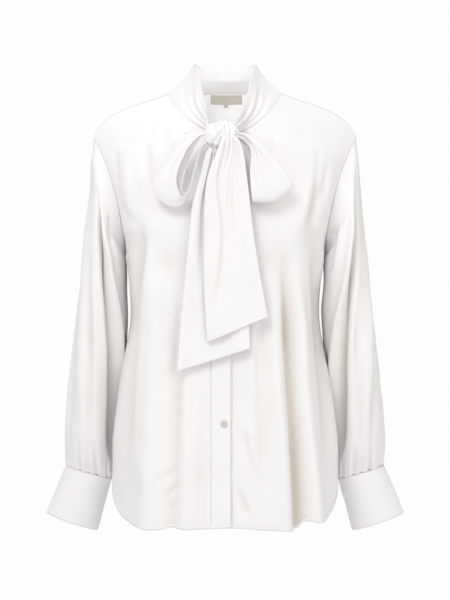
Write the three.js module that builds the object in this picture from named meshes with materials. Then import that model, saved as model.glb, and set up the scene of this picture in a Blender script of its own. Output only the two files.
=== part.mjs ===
import * as THREE from "three";
import { mergeVertices } from "three/addons/utils/BufferGeometryUtils.js";

// A long-sleeved blouse with a neck band tied in a bow, filled out as if it were worn.
// Sizes are in millimetres. The origin lies on the middle line at the height of the side necks.
// +Z is up, the front faces -Y, and the wearer's left is +X.

// Cloth
const clothWall = 1.5;
const doubleWall = 2.0;
const placketWall = 2.2;
const seamGap = 0.3;
const neckSeamGap = 0.5;

// Grid of the body panels: rows run from the hem up, columns from the middle to the side
const underarmRow = 10;
const neckRow = 17;
const topRow = 24;
const frontColumns = 14;
const backNeckColumns = 5;
const backNeckShare = 0.3;
const backColumns = backNeckColumns + frontColumns;

// Front edges: the right front laps over the left front
const overLap = 10;
const underLap = 20;
const lapFlat = 26;
const lapColumns = 2;
const lapLift = 1.2;
const lapDrop = 1.5;

// Hem: it rises to the side seams in a curve
const hemRise = 68;
const hemRiseStart = 0.55;
const hemRisePower = 1.6;

// Buttons
const buttonRadius = 5.3;
const buttonHeight = 2.4;
const buttonRim = 0.7;
const buttonStandOff = 0.45;
const frontButtonHeights = [-515, -407, -300, -193];
const cuffButtonSpots = [0.3, 0.72];

// Sleeves and cuffs
const sleeveColumns = 2 * (topRow - underarmRow);
const gatherCount = sleeveColumns / 2;
const gatherDepth = 2.3;
const gatherReach = 48;
const sleeveLength = 530;
const cuffColumns = 28;
const cuffLapTurn = 0.09;

// Neck labels, both bare
const labelWidth = 53;
const labelHeight = 13;
const labelWall = 0.8;
const sizeTabWidth = 10;
const sizeTabHeight = 8;

// Each row of a half front: the inner edge, two handles that shape the curve, and the outer edge.
// The near handle is level with the inner edge, which is at the middle line where no inX is given.
// Up to the underarm the outer edge is the side seam, and above it the armhole.
const frontRows = [
  { row: 0, inY: -125, inZ: -676, nearX: 95, farX: 182, farY: -98, outX: 180, outY: 5, outZ: -676 },
  { row: 3, inY: -126, inZ: -560, nearX: 95, farX: 180, farY: -100, outX: 178, outY: 5, outZ: -540 },
  { row: 6, inY: -127, inZ: -450, nearX: 93, farX: 169, farY: -102, outX: 166, outY: 5, outZ: -440 },
  { row: 8, inY: -128, inZ: -352, nearX: 90, farX: 155, farY: -104, outX: 151, outY: 5, outZ: -350 },
  { row: 10, inY: -128, inZ: -252, nearX: 88, farX: 160, farY: -110, outX: 158, outY: 5, outZ: -245 },
  { row: 12, inY: -125, inZ: -205, nearX: 86, farX: 164, farY: -118, outX: 161.5, outY: -28, outZ: -214 },
  { row: 14.5, inY: -113, inZ: -140, nearX: 82, farX: 164, farY: -108, outX: 171, outY: -45, outZ: -165 },
  { row: 17, inY: -97, inZ: -68, nearX: 62, farX: 156, farY: -88, outX: 184, outY: -40, outZ: -122 },
  { row: 19, inX: 30, inY: -92, inZ: -61, nearX: 72, farX: 168, farY: -56, outX: 192, outY: -29, outZ: -102 },
  { row: 21.5, inX: 68, inY: -62, inZ: -33, nearX: 94, farX: 178, farY: -28, outX: 201, outY: -14, outZ: -83 },
  { row: 24, inX: 91, inY: 5, inZ: 6, nearX: 130, farX: 195, farY: 2, outX: 210, outY: 0, outZ: -66 },
];

const backRows = [
  { row: 0, inY: 112, inZ: -676, nearX: 90, farX: 182, farY: 92, outX: 180, outY: 5, outZ: -676 },
  { row: 3, inY: 112, inZ: -560, nearX: 90, farX: 180, farY: 90, outX: 178, outY: 5, outZ: -540 },
  { row: 6, inY: 109, inZ: -450, nearX: 88, farX: 169, farY: 90, outX: 166, outY: 5, outZ: -440 },
  { row: 8, inY: 105, inZ: -352, nearX: 86, farX: 155, farY: 92, outX: 151, outY: 5, outZ: -350 },
  { row: 10, inY: 104, inZ: -252, nearX: 86, farX: 162, farY: 100, outX: 158, outY: 5, outZ: -245 },
  { row: 12, inY: 107, inZ: -205, nearX: 85, farX: 168, farY: 104, outX: 165, outY: 36, outZ: -214 },
  { row: 14.5, inY: 110, inZ: -150, nearX: 85, farX: 174, farY: 102, outX: 178, outY: 52, outZ: -165 },
  { row: 17, inY: 110, inZ: -95, nearX: 80, farX: 178, farY: 92, outX: 189, outY: 47, outZ: -122 },
  { row: 19, inY: 108, inZ: -55, nearX: 76, farX: 182, farY: 68, outX: 196, outY: 34, outZ: -102 },
  { row: 21.5, inY: 102, inZ: -14, nearX: 80, farX: 186, farY: 42, outX: 203, outY: 17, outZ: -83 },
];
const handleDrop = { near: 0.25, far: 0.33 };

// The back neckline, from the middle to the side neck
const backNeck = { midY: 93, midZ: 16, nearX: 48, nearY: 93, nearZ: 15, farX: 88, farY: 58, farZ: 10 };

// Folds of the body, as soft ridges (+) and troughs (-) that run from the top point down to the low point
const frontFolds = [
  { fold: "deep", topX: 96, topZ: -215, lowX: 121, lowZ: -640, width: 14, depth: -21, lean: 5 },
  { fold: "deep crest", topX: 76, topZ: -230, lowX: 94, lowZ: -640, width: 17, depth: 8, lean: 0 },
  { fold: "deep outer crest", topX: 118, topZ: -250, lowX: 146, lowZ: -640, width: 14, depth: 8, lean: 0 },
  { fold: "left side", topX: 150, topZ: -215, lowX: 170, lowZ: -520, width: 13, depth: -6, lean: 0 },
  { fold: "right crest", topX: -104, topZ: -215, lowX: -110, lowZ: -660, width: 22, depth: 7, lean: 0 },
  { fold: "right side", topX: -132, topZ: -240, lowX: -142, lowZ: -640, width: 15, depth: -9, lean: 0 },
  { fold: "right shallow", topX: -66, topZ: -380, lowX: -74, lowZ: -680, width: 16, depth: -5, lean: 0 },
  { fold: "left shallow", topX: 44, topZ: -400, lowX: 50, lowZ: -680, width: 17, depth: -5, lean: 0 },
];
const backFolds = [
  { fold: "left deep", topX: 92, topZ: -180, lowX: 112, lowZ: -640, width: 18, depth: -14, lean: 0 },
  { fold: "left crest", topX: 64, topZ: -230, lowX: 78, lowZ: -660, width: 20, depth: 7, lean: 0 },
  { fold: "middle left", topX: 22, topZ: -250, lowX: 34, lowZ: -680, width: 20, depth: -8, lean: 0 },
  { fold: "middle right", topX: -24, topZ: -210, lowX: -20, lowZ: -680, width: 22, depth: -6, lean: 0 },
  { fold: "right crest", topX: -58, topZ: -220, lowX: -64, lowZ: -680, width: 18, depth: 7, lean: 0 },
  { fold: "right deep", topX: -94, topZ: -190, lowX: -106, lowZ: -650, width: 19, depth: -13, lean: 0 },
];

// Rings of a sleeve below the armhole: the outer and the inner point, and the half depth about the middle
const sleeveRings = [
  { at: 0.05, outX: 212.5, outZ: -90, inX: 164.5, inZ: -251, midY: 5, halfDepth: 50 },
  { at: 0.14, outX: 216.5, outZ: -140, inX: 164, inZ: -265, midY: 6, halfDepth: 58 },
  { at: 0.32, outX: 226, outZ: -235, inX: 164, inZ: -302, midY: 12, halfDepth: 66 },
  { at: 0.5, outX: 235.5, outZ: -325, inX: 162, inZ: -356, midY: 20, halfDepth: 68 },
  { at: 0.65, outX: 245.5, outZ: -406, inX: 167.5, inZ: -428, midY: 31, halfDepth: 67 },
  { at: 0.79, outX: 254.5, outZ: -482, inX: 176, inZ: -496, midY: 41, halfDepth: 63 },
  { at: 0.92, outX: 259.5, outZ: -551, inX: 182.5, inZ: -568, midY: 48, halfDepth: 52 },
  { at: 1, outX: 257, outZ: -593, inX: 184, inZ: -614, midY: 50, halfDepth: 31 },
];
const cuffHem = { outX: 290, outZ: -671, inX: 208, inZ: -699, midY: 57, halfDepth: 35 };

// Folds of a sleeve. A turn of 0 is next to the body, 0.25 the front, 0.5 the outside and 0.75 the back.
const sleeveFolds = {
  right: [
    { fold: "long", topAt: 0.08, topTurn: 0.33, lowAt: 0.95, lowTurn: 0.06, width: 0.036, depth: -13 },
    { fold: "long crest", topAt: 0.1, topTurn: 0.42, lowAt: 0.95, lowTurn: 0.16, width: 0.045, depth: 5 },
    { fold: "back", topAt: 0.12, topTurn: 0.68, lowAt: 0.95, lowTurn: 0.82, width: 0.045, depth: -9 },
  ],
  left: [
    { fold: "long", topAt: 0.02, topTurn: 0.4, lowAt: 0.95, lowTurn: 0.07, width: 0.036, depth: -13 },
    { fold: "long crest", topAt: 0.2, topTurn: 0.45, lowAt: 0.95, lowTurn: 0.17, width: 0.045, depth: 5 },
    { fold: "back", topAt: 0.15, topTurn: 0.66, lowAt: 0.95, lowTurn: 0.79, width: 0.045, depth: -10 },
  ],
};

// Free edge of the neck band, from the knot up to the side and round to the middle of the back
const bandTop = [
  { at: 0, x: 19.5, y: -126, z: -57 },
  { at: 2, x: 28, y: -104, z: -35 },
  { at: 3.5, x: 34, y: -72, z: -8 },
  { at: 5, x: 39.5, y: -45, z: 19 },
  { at: 6, x: 45, y: -20, z: 39 },
  { at: 7, x: 50.5, y: 6, z: 52.5 },
  { at: 9.5, x: 37, y: 42, z: 53 },
  { at: 12, x: 0, y: 56, z: 52 },
];
const bandEnd = { x: 23, y: -124, z: -66 };
const bandHollow = 5;
const bandRows = 4;

// Bow
const knot = { x: -6, y: -128, z: -73, halfWidth: 27, halfDepth: 13, halfHeight: 22 };
const knotRipple = 0.6;
const knotSeat = 0.9;
const bandSeat = 2;
const rightLoopRims = {
  near: [
    { at: 0, x: -35, y: -134, z: -70 },
    { at: 0.12, x: -50, y: -147, z: -84 },
    { at: 0.27, x: -66, y: -152, z: -112 },
    { at: 0.42, x: -74, y: -153, z: -143 },
    { at: 0.56, x: -66, y: -152, z: -168 },
    { at: 0.68, x: -54, y: -150, z: -158 },
    { at: 0.8, x: -46, y: -148, z: -125 },
    { at: 1, x: -34, y: -136, z: -84 },
  ],
  fold: [
    { at: 0, x: -36, y: -130, z: -65 },
    { at: 0.12, x: -62, y: -135, z: -83 },
    { at: 0.27, x: -90, y: -136, z: -115 },
    { at: 0.42, x: -111, y: -136, z: -150 },
    { at: 0.56, x: -94, y: -138, z: -177 },
    { at: 0.68, x: -66, y: -140, z: -181 },
    { at: 0.8, x: -49, y: -140, z: -146 },
    { at: 1, x: -35, y: -131, z: -87 },
  ],
  far: [
    { at: 0, x: -33, y: -125, z: -68 },
    { at: 0.12, x: -46, y: -124, z: -90 },
    { at: 0.27, x: -56, y: -123, z: -118 },
    { at: 0.42, x: -64, y: -123, z: -144 },
    { at: 0.56, x: -63, y: -126, z: -162 },
    { at: 0.68, x: -54, y: -130, z: -152 },
    { at: 0.8, x: -46, y: -131, z: -126 },
    { at: 1, x: -34, y: -127, z: -84 },
  ],
};
const leftLoopRims = {
  near: [
    { at: 0, x: 25, y: -134, z: -76 },
    { at: 0.15, x: 39, y: -146, z: -96 },
    { at: 0.33, x: 38, y: -150, z: -134 },
    { at: 0.47, x: 41, y: -147, z: -170 },
    { at: 0.57, x: 43, y: -137, z: -176 },
    { at: 0.75, x: 38, y: -130, z: -138 },
    { at: 1, x: 24, y: -125, z: -82 },
  ],
  fold: [
    { at: 0, x: 25, y: -134, z: -71 },
    { at: 0.15, x: 47, y: -147, z: -92 },
    { at: 0.33, x: 61, y: -150, z: -130 },
    { at: 0.47, x: 75, y: -145, z: -169 },
    { at: 0.57, x: 75, y: -134, z: -173 },
    { at: 0.75, x: 58, y: -127, z: -131 },
    { at: 1, x: 25, y: -123, z: -74 },
  ],
  far: [
    { at: 0, x: 24, y: -133, z: -66 },
    { at: 0.15, x: 54, y: -142, z: -87 },
    { at: 0.33, x: 84, y: -143, z: -119 },
    { at: 0.47, x: 104, y: -138, z: -147 },
    { at: 0.57, x: 102, y: -130, z: -152 },
    { at: 0.75, x: 76, y: -126, z: -121 },
    { at: 1, x: 25, y: -122, z: -66 },
  ],
};
const loopColumns = 18;
const loopRows = 6;
const overTail = [
  { at: 0, leftX: -3, leftZ: -73, rightX: 18, rightZ: -72, y: -144 },
  { at: 0.07, leftX: -12, leftZ: -98, rightX: 27, rightZ: -96, y: -147 },
  { at: 0.2, leftX: -27, leftZ: -138, rightX: 33, rightZ: -135, y: -146 },
  { at: 0.45, leftX: -32, leftZ: -218, rightX: 42, rightZ: -212, y: -145 },
  { at: 0.72, leftX: -32, leftZ: -308, rightX: 54, rightZ: -290, y: -145 },
  { at: 1, leftX: -27, leftZ: -390, rightX: 65.5, rightZ: -351, y: -145 },
];
const underTail = [
  { at: 0, leftX: -27, leftZ: -90, rightX: -10, rightZ: -96, y: -131 },
  { at: 0.1, leftX: -36, leftZ: -128, rightX: -6, rightZ: -128, y: -138 },
  { at: 0.3, leftX: -50, leftZ: -184, rightX: 4, rightZ: -184, y: -139 },
  { at: 0.55, leftX: -59, leftZ: -272, rightX: 18, rightZ: -262, y: -138.5 },
  { at: 0.8, leftX: -68, leftZ: -362, rightX: 34, rightZ: -332, y: -138.5 },
  { at: 1, leftX: -73.5, leftZ: -433, rightX: 39, rightZ: -396, y: -138.5 },
];
const tailColumns = 8;
const tailRows = 12;
const tailFold = 2.2;

const cloth = { color: 0xf4f2ee, roughness: 0.55, metalness: 0 };
const shell = { color: 0xe6e2da, roughness: 0.25, metalness: 0 };
const woven = { color: 0xcac4b5, roughness: 0.8, metalness: 0 };

const blouse = new THREE.Group();

function smooth(value) {
  const t = THREE.MathUtils.clamp(value, 0, 1);
  return t * t * (3 - 2 * t);
}

function bell(distance, width) {
  return Math.exp(-((distance / width) ** 2));
}

// Smooth curve through numbers given at uneven stations
function through(stations, values, at) {
  const last = stations.length - 1;
  let k = 0;
  while (k < last - 1 && at > stations[k + 1]) k += 1;
  const span = stations[k + 1] - stations[k];
  const t = (at - stations[k]) / span;
  const rise = (values[k + 1] - values[k]) / span;
  const before = k > 0 ? (values[k] - values[k - 1]) / (stations[k] - stations[k - 1]) : rise;
  const after = k < last - 1 ? (values[k + 2] - values[k + 1]) / (stations[k + 2] - stations[k + 1]) : rise;
  const slopeIn = (before + rise) / 2;
  const slopeOut = (rise + after) / 2;
  return (
    values[k] * (2 * t ** 3 - 3 * t ** 2 + 1) +
    slopeIn * span * (t ** 3 - 2 * t ** 2 + t) +
    values[k + 1] * (3 * t ** 2 - 2 * t ** 3) +
    slopeOut * span * (t ** 3 - t ** 2)
  );
}

function pointThrough(stations, points, at) {
  return new THREE.Vector3(
    through(stations, points.map((point) => point.x), at),
    through(stations, points.map((point) => point.y), at),
    through(stations, points.map((point) => point.z), at)
  );
}

// Share of the way from the middle to the side at each column of a front
function frontShare(column) {
  if (column <= lapColumns) return 0.05 * column;
  return 0.1 + (0.9 * (column - lapColumns)) / (frontColumns - lapColumns);
}

function backShare(column) {
  if (column <= backNeckColumns) return (backNeckShare * column) / backNeckColumns;
  return backNeckShare + (1 - backNeckShare) * frontShare(column - backNeckColumns);
}

// Point of one row of a half panel
function rowPoint(row, share, startX = 0) {
  const drop = row.outZ - row.inZ;
  const curve = new THREE.CubicBezierCurve3(
    new THREE.Vector3(startX, row.inY, row.inZ),
    new THREE.Vector3(row.nearX, row.inY, row.inZ + drop * handleDrop.near),
    new THREE.Vector3(row.farX, row.farY, row.inZ + drop * handleDrop.far),
    new THREE.Vector3(row.outX, row.outY, row.outZ)
  );
  const point = curve.getPoint(share);
  if (row.row === 0) {
    const rise = Math.max(0, (share - hemRiseStart) / (1 - hemRiseStart));
    point.z += hemRise * rise ** hemRisePower;
  }
  return point;
}

// Point of a front's row: the lapped middle is flat, and the rest curves round to the side
function frontPoint(row, column, lap) {
  if (row.row > neckRow) return rowPoint(row, frontShare(column), row.inX);
  if (column >= lapColumns) {
    const share = (column - lapColumns) / (frontColumns - lapColumns);
    return rowPoint(row, share, lapFlat);
  }
  const x = THREE.MathUtils.lerp(-lap, lapFlat, column / lapColumns);
  return new THREE.Vector3(x, row.inY, row.inZ);
}

function backNeckPoint(share) {
  const side = frontRows[frontRows.length - 1];
  return new THREE.CubicBezierCurve3(
    new THREE.Vector3(0, backNeck.midY, backNeck.midZ),
    new THREE.Vector3(backNeck.nearX, backNeck.nearY, backNeck.nearZ),
    new THREE.Vector3(backNeck.farX, backNeck.farY, backNeck.farZ),
    new THREE.Vector3(side.inX, side.inY, side.inZ)
  ).getPoint(share);
}

function foldHeight(folds, x, z) {
  let height = 0;
  let shift = 0;
  for (const fold of folds) {
    const along = (fold.topZ - z) / (fold.topZ - fold.lowZ);
    const middle = THREE.MathUtils.lerp(fold.topX, fold.lowX, THREE.MathUtils.clamp(along, 0, 1.2));
    const strength = smooth(along * 1.4);
    const width = fold.width * (0.75 + 0.35 * Math.min(1, Math.max(0, along)));
    height += fold.depth * strength * bell(x - middle, width);
    shift += fold.lean * strength * bell(x - middle + fold.width, fold.width);
  }
  return { height, shift };
}

// A piece of cloth is a grid of points on its outer face. Seen from outside, its columns run from left to
// right and its rows from the bottom up, or the other way round where the piece is turned.
function makePiece(name, rows, options) {
  return {
    name,
    rows,
    closed: options.closed ?? false,
    turned: options.turned ?? false,
    wall: options.wall ?? clothWall,
    look: options.look ?? cloth,
    normals: null,
  };
}

// Triangles between two rows, of which the lower one may have twice as many points
function rowFaces(lower, upper, closed) {
  const faces = [];
  const ratio = closed ? lower.length / upper.length : 1;
  const cells = closed ? upper.length : upper.length - 1;
  for (let i = 0; i < cells; i += 1) {
    const next = (i + 1) % upper.length;
    const a = lower[(i * ratio) % lower.length];
    const b = lower[(i * ratio + ratio) % lower.length];
    if (ratio === 2) {
      const middle = lower[i * ratio + 1];
      faces.push([a, middle, upper[i]], [middle, upper[next], upper[i]], [middle, b, upper[next]]);
    } else {
      faces.push([a, b, upper[next]], [a, upper[next], upper[i]]);
    }
  }
  return faces;
}

function pieceIndex(piece) {
  let count = 0;
  return piece.rows.map((row) => row.map(() => count++));
}

function pieceFaces(piece) {
  const index = pieceIndex(piece);
  const faces = [];
  for (let j = 0; j < index.length - 1; j += 1) {
    faces.push(...rowFaces(index[j], index[j + 1], piece.closed));
  }
  return piece.turned ? faces.map(([a, b, c]) => [a, c, b]) : faces;
}

function findNormals(piece) {
  const points = piece.rows.flat();
  const normals = points.map(() => new THREE.Vector3());
  for (const [a, b, c] of pieceFaces(piece)) {
    const edge = points[b].clone().sub(points[a]);
    const normal = edge.cross(points[c].clone().sub(points[a]));
    for (const corner of [a, b, c]) normals[corner].add(normal);
  }
  for (const normal of normals) normal.normalize();
  let count = 0;
  piece.normals = piece.rows.map((row) => row.map(() => normals[count++]));
}

// Sewn edges run along the same points. Both sides take one direction through the cloth there, unless
// the seam lies in a valley, and each is drawn back from the seam line by half the gap.
function sew(first, firstSpots, second, secondSpots, gap = seamGap) {
  const sides = [
    { piece: first, spots: firstSpots, pulls: [] },
    { piece: second, spots: secondSpots, pulls: [] },
  ];
  for (const side of sides) {
    const at = ([row, column]) => side.piece.rows[row][column];
    side.spots.forEach((spot, k) => {
      const before = at(side.spots[Math.max(0, k - 1)]);
      const after = at(side.spots[Math.min(side.spots.length - 1, k + 1)]);
      const along = after.clone().sub(before).normalize();
      const pull = at([spot[0] + spot[2], spot[1] + spot[3]]).clone().sub(at(spot));
      pull.addScaledVector(along, -pull.dot(along)).setLength(gap / 2);
      side.pulls.push(pull);
    });
  }
  firstSpots.forEach((spot, k) => {
    const other = secondSpots[k];
    const mine = first.normals[spot[0]][spot[1]];
    const theirs = second.normals[other[0]][other[1]];
    const valley = (sides[0].pulls[k].dot(theirs) + sides[1].pulls[k].dot(mine)) / gap;
    const sharing = 1 - smooth(valley / 0.4);
    const shared = mine.clone().add(theirs).normalize();
    mine.lerp(shared, sharing).normalize();
    theirs.lerp(shared, sharing).normalize();
  });
  for (const side of sides) {
    side.spots.forEach(([row, column], k) => side.piece.rows[row][column].add(side.pulls[k]));
  }
}

// Where three pieces meet, they all take one direction through the cloth
function meet(corners) {
  const shared = new THREE.Vector3();
  for (const { piece, row, column } of corners) shared.add(piece.normals[row][column]);
  shared.normalize();
  for (const { piece, row, column } of corners) piece.normals[row][column] = shared.clone();
}

// Closed solid: the outer face, the same face moved in by the wall, and strips round the edges
function addPiece(piece) {
  const outer = piece.rows.flat();
  const normals = piece.normals.flat();
  const count = outer.length;
  const index = pieceIndex(piece);
  const walls = piece.rows.map((row, j) =>
    row.map((_, i) => (typeof piece.wall === "function" ? piece.wall(j, i) : piece.wall))
  );
  const flatWalls = walls.flat();
  const inner = outer.map((point, k) => point.clone().addScaledVector(normals[k], -flatWalls[k]));
  const faces = pieceFaces(piece);
  const solid = faces.concat(faces.map(([a, b, c]) => [a + count, c + count, b + count]));
  const strip = (edge, reversed) => {
    for (let k = 0; k < edge.length - 1; k += 1) {
      const a = edge[k];
      const b = edge[k + 1];
      if (reversed !== piece.turned) solid.push([a, b, b + count], [a, b + count, a + count]);
      else solid.push([b, a, a + count], [b, a + count, b + count]);
    }
  };
  const bottom = index[0].slice();
  const top = index[index.length - 1].slice();
  if (piece.closed) {
    bottom.push(bottom[0]);
    top.push(top[0]);
  } else {
    strip(index.map((row) => row[0]), true);
    strip(index.map((row) => row[row.length - 1]), false);
  }
  strip(bottom, false);
  strip(top, true);
  const geometry = new THREE.BufferGeometry();
  const positions = outer.concat(inner).flatMap((point) => [point.x, point.y, point.z]);
  geometry.setAttribute("position", new THREE.Float32BufferAttribute(positions, 3));
  geometry.setIndex(solid.flat());
  addMesh(piece.name, geometry, piece.look);
}

function addMesh(name, geometry, look) {
  const mesh = new THREE.Mesh(geometry, new THREE.MeshStandardMaterial(look));
  mesh.name = name;
  blouse.add(mesh);
  return mesh;
}

// Point on a piece at a place between its grid points, moved out by a distance
function pointOn(piece, row, column, distance) {
  const j = Math.min(piece.rows.length - 2, Math.floor(row));
  const i = Math.min(piece.rows[j].length - 2, Math.floor(column));
  const mix = (grid) => {
    const low = grid[j][i].clone().lerp(grid[j][i + 1], column - i);
    const high = grid[j + 1][i].clone().lerp(grid[j + 1][i + 1], column - i);
    return low.lerp(high, row - j);
  };
  const normal = mix(piece.normals).normalize();
  return { point: mix(piece.rows).addScaledVector(normal, distance), normal };
}

// Half fronts, with side -1 for the wearer's right and +1 for the wearer's left
function makeFront(name, side, lap, lift, wall) {
  const stations = frontRows.map((row) => row.row);
  const rows = [];
  for (let j = 0; j <= topRow; j += 1) {
    const line = [];
    for (let i = 0; i <= frontColumns; i += 1) {
      const edge = frontRows.map((row) => frontPoint(row, i, lap));
      const point = pointThrough(stations, edge, j);
      point.x *= side;
      line.push(point);
    }
    rows.push(line);
  }
  const piece = makePiece(name, rows, { turned: side < 0, wall });
  shapeFolds(piece, frontFolds, (i) => i / frontColumns);
  for (let j = 0; j <= topRow; j += 1) {
    for (let i = 0; i <= frontColumns; i += 1) {
      const middle = smooth((frontColumns / 2 - i) / 3);
      const neckFade = smooth((topRow - 1 - j) / 6);
      piece.rows[j][i].y -= lift * middle * neckFade;
    }
  }
  findNormals(piece);
  return piece;
}

// Moves a body panel in and out by its folds, which die away at the neck, shoulder and side edges
function shapeFolds(piece, folds, shareOf) {
  findNormals(piece);
  for (let j = 0; j <= topRow; j += 1) {
    piece.rows[j].forEach((point, i) => {
      const share = Math.abs(shareOf(i));
      const sideFade = smooth((1 - share) / (j > underarmRow ? 0.2 : 0.1));
      const topFade = smooth((topRow - j) / 6);
      const { height, shift } = foldHeight(folds, point.x, point.z);
      const fade = sideFade * topFade;
      point.addScaledVector(piece.normals[j][i], height * fade);
      point.x += shift * fade;
    });
  }
}

function makeBack() {
  const top = frontRows[frontRows.length - 1];
  const stations = backRows.map((row) => row.row).concat(topRow);
  const rows = [];
  for (let j = 0; j <= topRow; j += 1) {
    const line = [];
    for (let i = -backColumns; i <= backColumns; i += 1) {
      const column = Math.abs(i);
      const edge = backRows.map((row) => rowPoint(row, backShare(column)));
      if (column <= backNeckColumns) edge.push(backNeckPoint(column / backNeckColumns));
      else edge.push(rowPoint(top, frontShare(column - backNeckColumns), top.inX));
      const point = pointThrough(stations, edge, j);
      point.x *= -Math.sign(i);
      line.push(point);
    }
    rows.push(line);
  }
  const piece = makePiece("back", rows, {});
  shapeFolds(piece, backFolds, (i) => (i - backColumns) / backColumns);
  return piece;
}

// Column of the back for a column counted from the middle towards one side
function backColumn(side, column) {
  return side > 0 ? backColumns - column : backColumns + column;
}

function shareEdges(front, back, side) {
  for (let j = 0; j <= underarmRow; j += 1) {
    back.rows[j][backColumn(side, backColumns)].copy(front.rows[j][frontColumns]);
  }
  for (let i = 0; i <= frontColumns; i += 1) {
    back.rows[topRow][backColumn(side, backNeckColumns + i)].copy(front.rows[topRow][i]);
  }
}

function ringPoint(ring, turn) {
  const angle = 2 * Math.PI * turn;
  const middleX = (ring.outX + ring.inX) / 2;
  const middleZ = (ring.outZ + ring.inZ) / 2;
  return new THREE.Vector3(
    middleX + (ring.inX - middleX) * Math.cos(angle),
    ring.midY - ring.halfDepth * Math.sin(angle),
    middleZ + (ring.inZ - middleZ) * Math.cos(angle)
  );
}

// Points of the armhole, from the underarm up the front, over the shoulder tip and down the back
function armholeLine(front, back, side) {
  const line = [];
  const outer = backColumn(side, backColumns);
  for (let j = underarmRow; j <= topRow; j += 1) line.push(front.rows[j][frontColumns].clone());
  for (let j = topRow - 1; j > underarmRow; j -= 1) line.push(back.rows[j][outer].clone());
  return line;
}

function shortestTurn(turn) {
  return turn - Math.round(turn);
}

function makeSleeve(name, side, armhole) {
  const stations = [0, ...sleeveRings.map((ring) => ring.at)];
  const folds = side > 0 ? sleeveFolds.left : sleeveFolds.right;
  const place = (turn, at) => {
    const whole = turn * sleeveColumns;
    const low = Math.floor(whole);
    const start = armhole[low % sleeveColumns].clone();
    start.lerp(armhole[(low + 1) % sleeveColumns], whole - low);
    start.x *= side;
    const line = [start, ...sleeveRings.map((ring) => ringPoint(ring, turn))];
    const point = pointThrough(stations, line, at);
    point.x *= side;
    return point;
  };
  const fineLevels = [0, 5, 13, 24, 37];
  const coarseCount = 14;
  const levels = fineLevels.map((height) => ({ at: 1 - height / sleeveLength, count: 2 * sleeveColumns }));
  const coarseTop = 1 - 54 / sleeveLength;
  for (let k = 0; k < coarseCount; k += 1) {
    const share = k / (coarseCount - 1);
    levels.push({ at: coarseTop * (1 - share ** 0.92), count: sleeveColumns });
  }
  const rows = levels.map(({ at, count }) => {
    const line = [];
    for (let i = 0; i < count; i += 1) line.push(place(i / count, at));
    return line;
  });
  const piece = makePiece(name, rows, { closed: true, turned: side < 0 });
  findNormals(piece);
  levels.forEach(({ at, count }, j) => {
    const height = (1 - at) * sleeveLength;
    const reach = smooth((gatherReach - height) / gatherReach);
    const gather = gatherDepth * reach * (0.35 + 0.65 * smooth(height / 8));
    const endFade = smooth(at / 0.12) * smooth((1 - at) / 0.08);
    for (let i = 0; i < count; i += 1) {
      let move = height < gatherReach ? gather * Math.cos(2 * Math.PI * gatherCount * (i / count)) : 0;
      for (const fold of folds) {
        const along = (at - fold.topAt) / (fold.lowAt - fold.topAt);
        const middle = THREE.MathUtils.lerp(fold.topTurn, fold.lowTurn, THREE.MathUtils.clamp(along, 0, 1));
        const strength = smooth(along * 2.2) * endFade;
        move += fold.depth * strength * bell(shortestTurn(i / count - middle), fold.width);
      }
      piece.rows[j][i].addScaledVector(piece.normals[j][i], move);
    }
  });
  findNormals(piece);
  return piece;
}

// A cuff laps over itself at the back, and its end is the outer layer there
function makeCuff(name, side) {
  const top = sleeveRings[sleeveRings.length - 1];
  const start = 0.62;
  const rows = [];
  for (const down of [1, 0.5, 0]) {
    const ring = {};
    for (const key of Object.keys(cuffHem)) ring[key] = THREE.MathUtils.lerp(top[key], cuffHem[key], down);
    const line = [];
    for (let i = 0; i <= cuffColumns; i += 1) {
      const share = i / cuffColumns;
      const turn = start + share * (1 + cuffLapTurn);
      const lift = share > 0.5 ? smooth((share - 0.72) / 0.12) : -smooth((0.28 - share) / 0.12);
      const point = ringPoint(ring, turn);
      const middle = ringPoint(ring, 0).lerp(ringPoint(ring, 0.5), 0.5);
      const outward = point.clone().sub(middle);
      point.add(outward.setLength(lift * (doubleWall / 2 + seamGap)));
      point.x *= side;
      line.push(point);
    }
    rows.push(line);
  }
  const piece = makePiece(name, rows, { turned: side < 0, wall: doubleWall });
  findNormals(piece);
  return piece;
}

// Keeps a seam ring in one plane: its points move by half the gap along the arm, and the cloth's
// direction there has no part along the arm
function flattenRing(piece, row, side, away) {
  const top = sleeveRings[sleeveRings.length - 1];
  const across = new THREE.Vector3((top.outX - top.inX) * side, 0, top.outZ - top.inZ);
  const axis = new THREE.Vector3(0, side, 0).cross(across).normalize();
  if (axis.z < 0) axis.negate();
  const centre = new THREE.Vector3(((top.outX + top.inX) / 2) * side, top.midY, (top.outZ + top.inZ) / 2);
  piece.rows[row].forEach((point, i) => {
    const offset = point.clone().sub(centre).dot(axis);
    point.addScaledVector(axis, away * (seamGap / 2) - offset);
    const normal = piece.normals[row][i];
    normal.addScaledVector(axis, -normal.dot(axis)).normalize();
  });
}

// Neckline spots shared by the band, counted from the knot end on one side round the back
function bandNeckline(fronts, back) {
  const line = [];
  for (let j = neckRow + 2; j <= topRow; j += 1) line.push({ piece: fronts.right, spot: [j, 0, 0, 1] });
  for (let i = backNeckColumns - 1; i > 0; i -= 1) {
    line.push({ piece: back, spot: [topRow, backColumn(-1, i), -1, 0] });
  }
  for (let i = 0; i < backNeckColumns; i += 1) {
    line.push({ piece: back, spot: [topRow, backColumn(1, i), -1, 0] });
  }
  for (let j = topRow; j >= neckRow + 2; j -= 1) line.push({ piece: fronts.left, spot: [j, 0, 0, 1] });
  return line;
}

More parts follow.
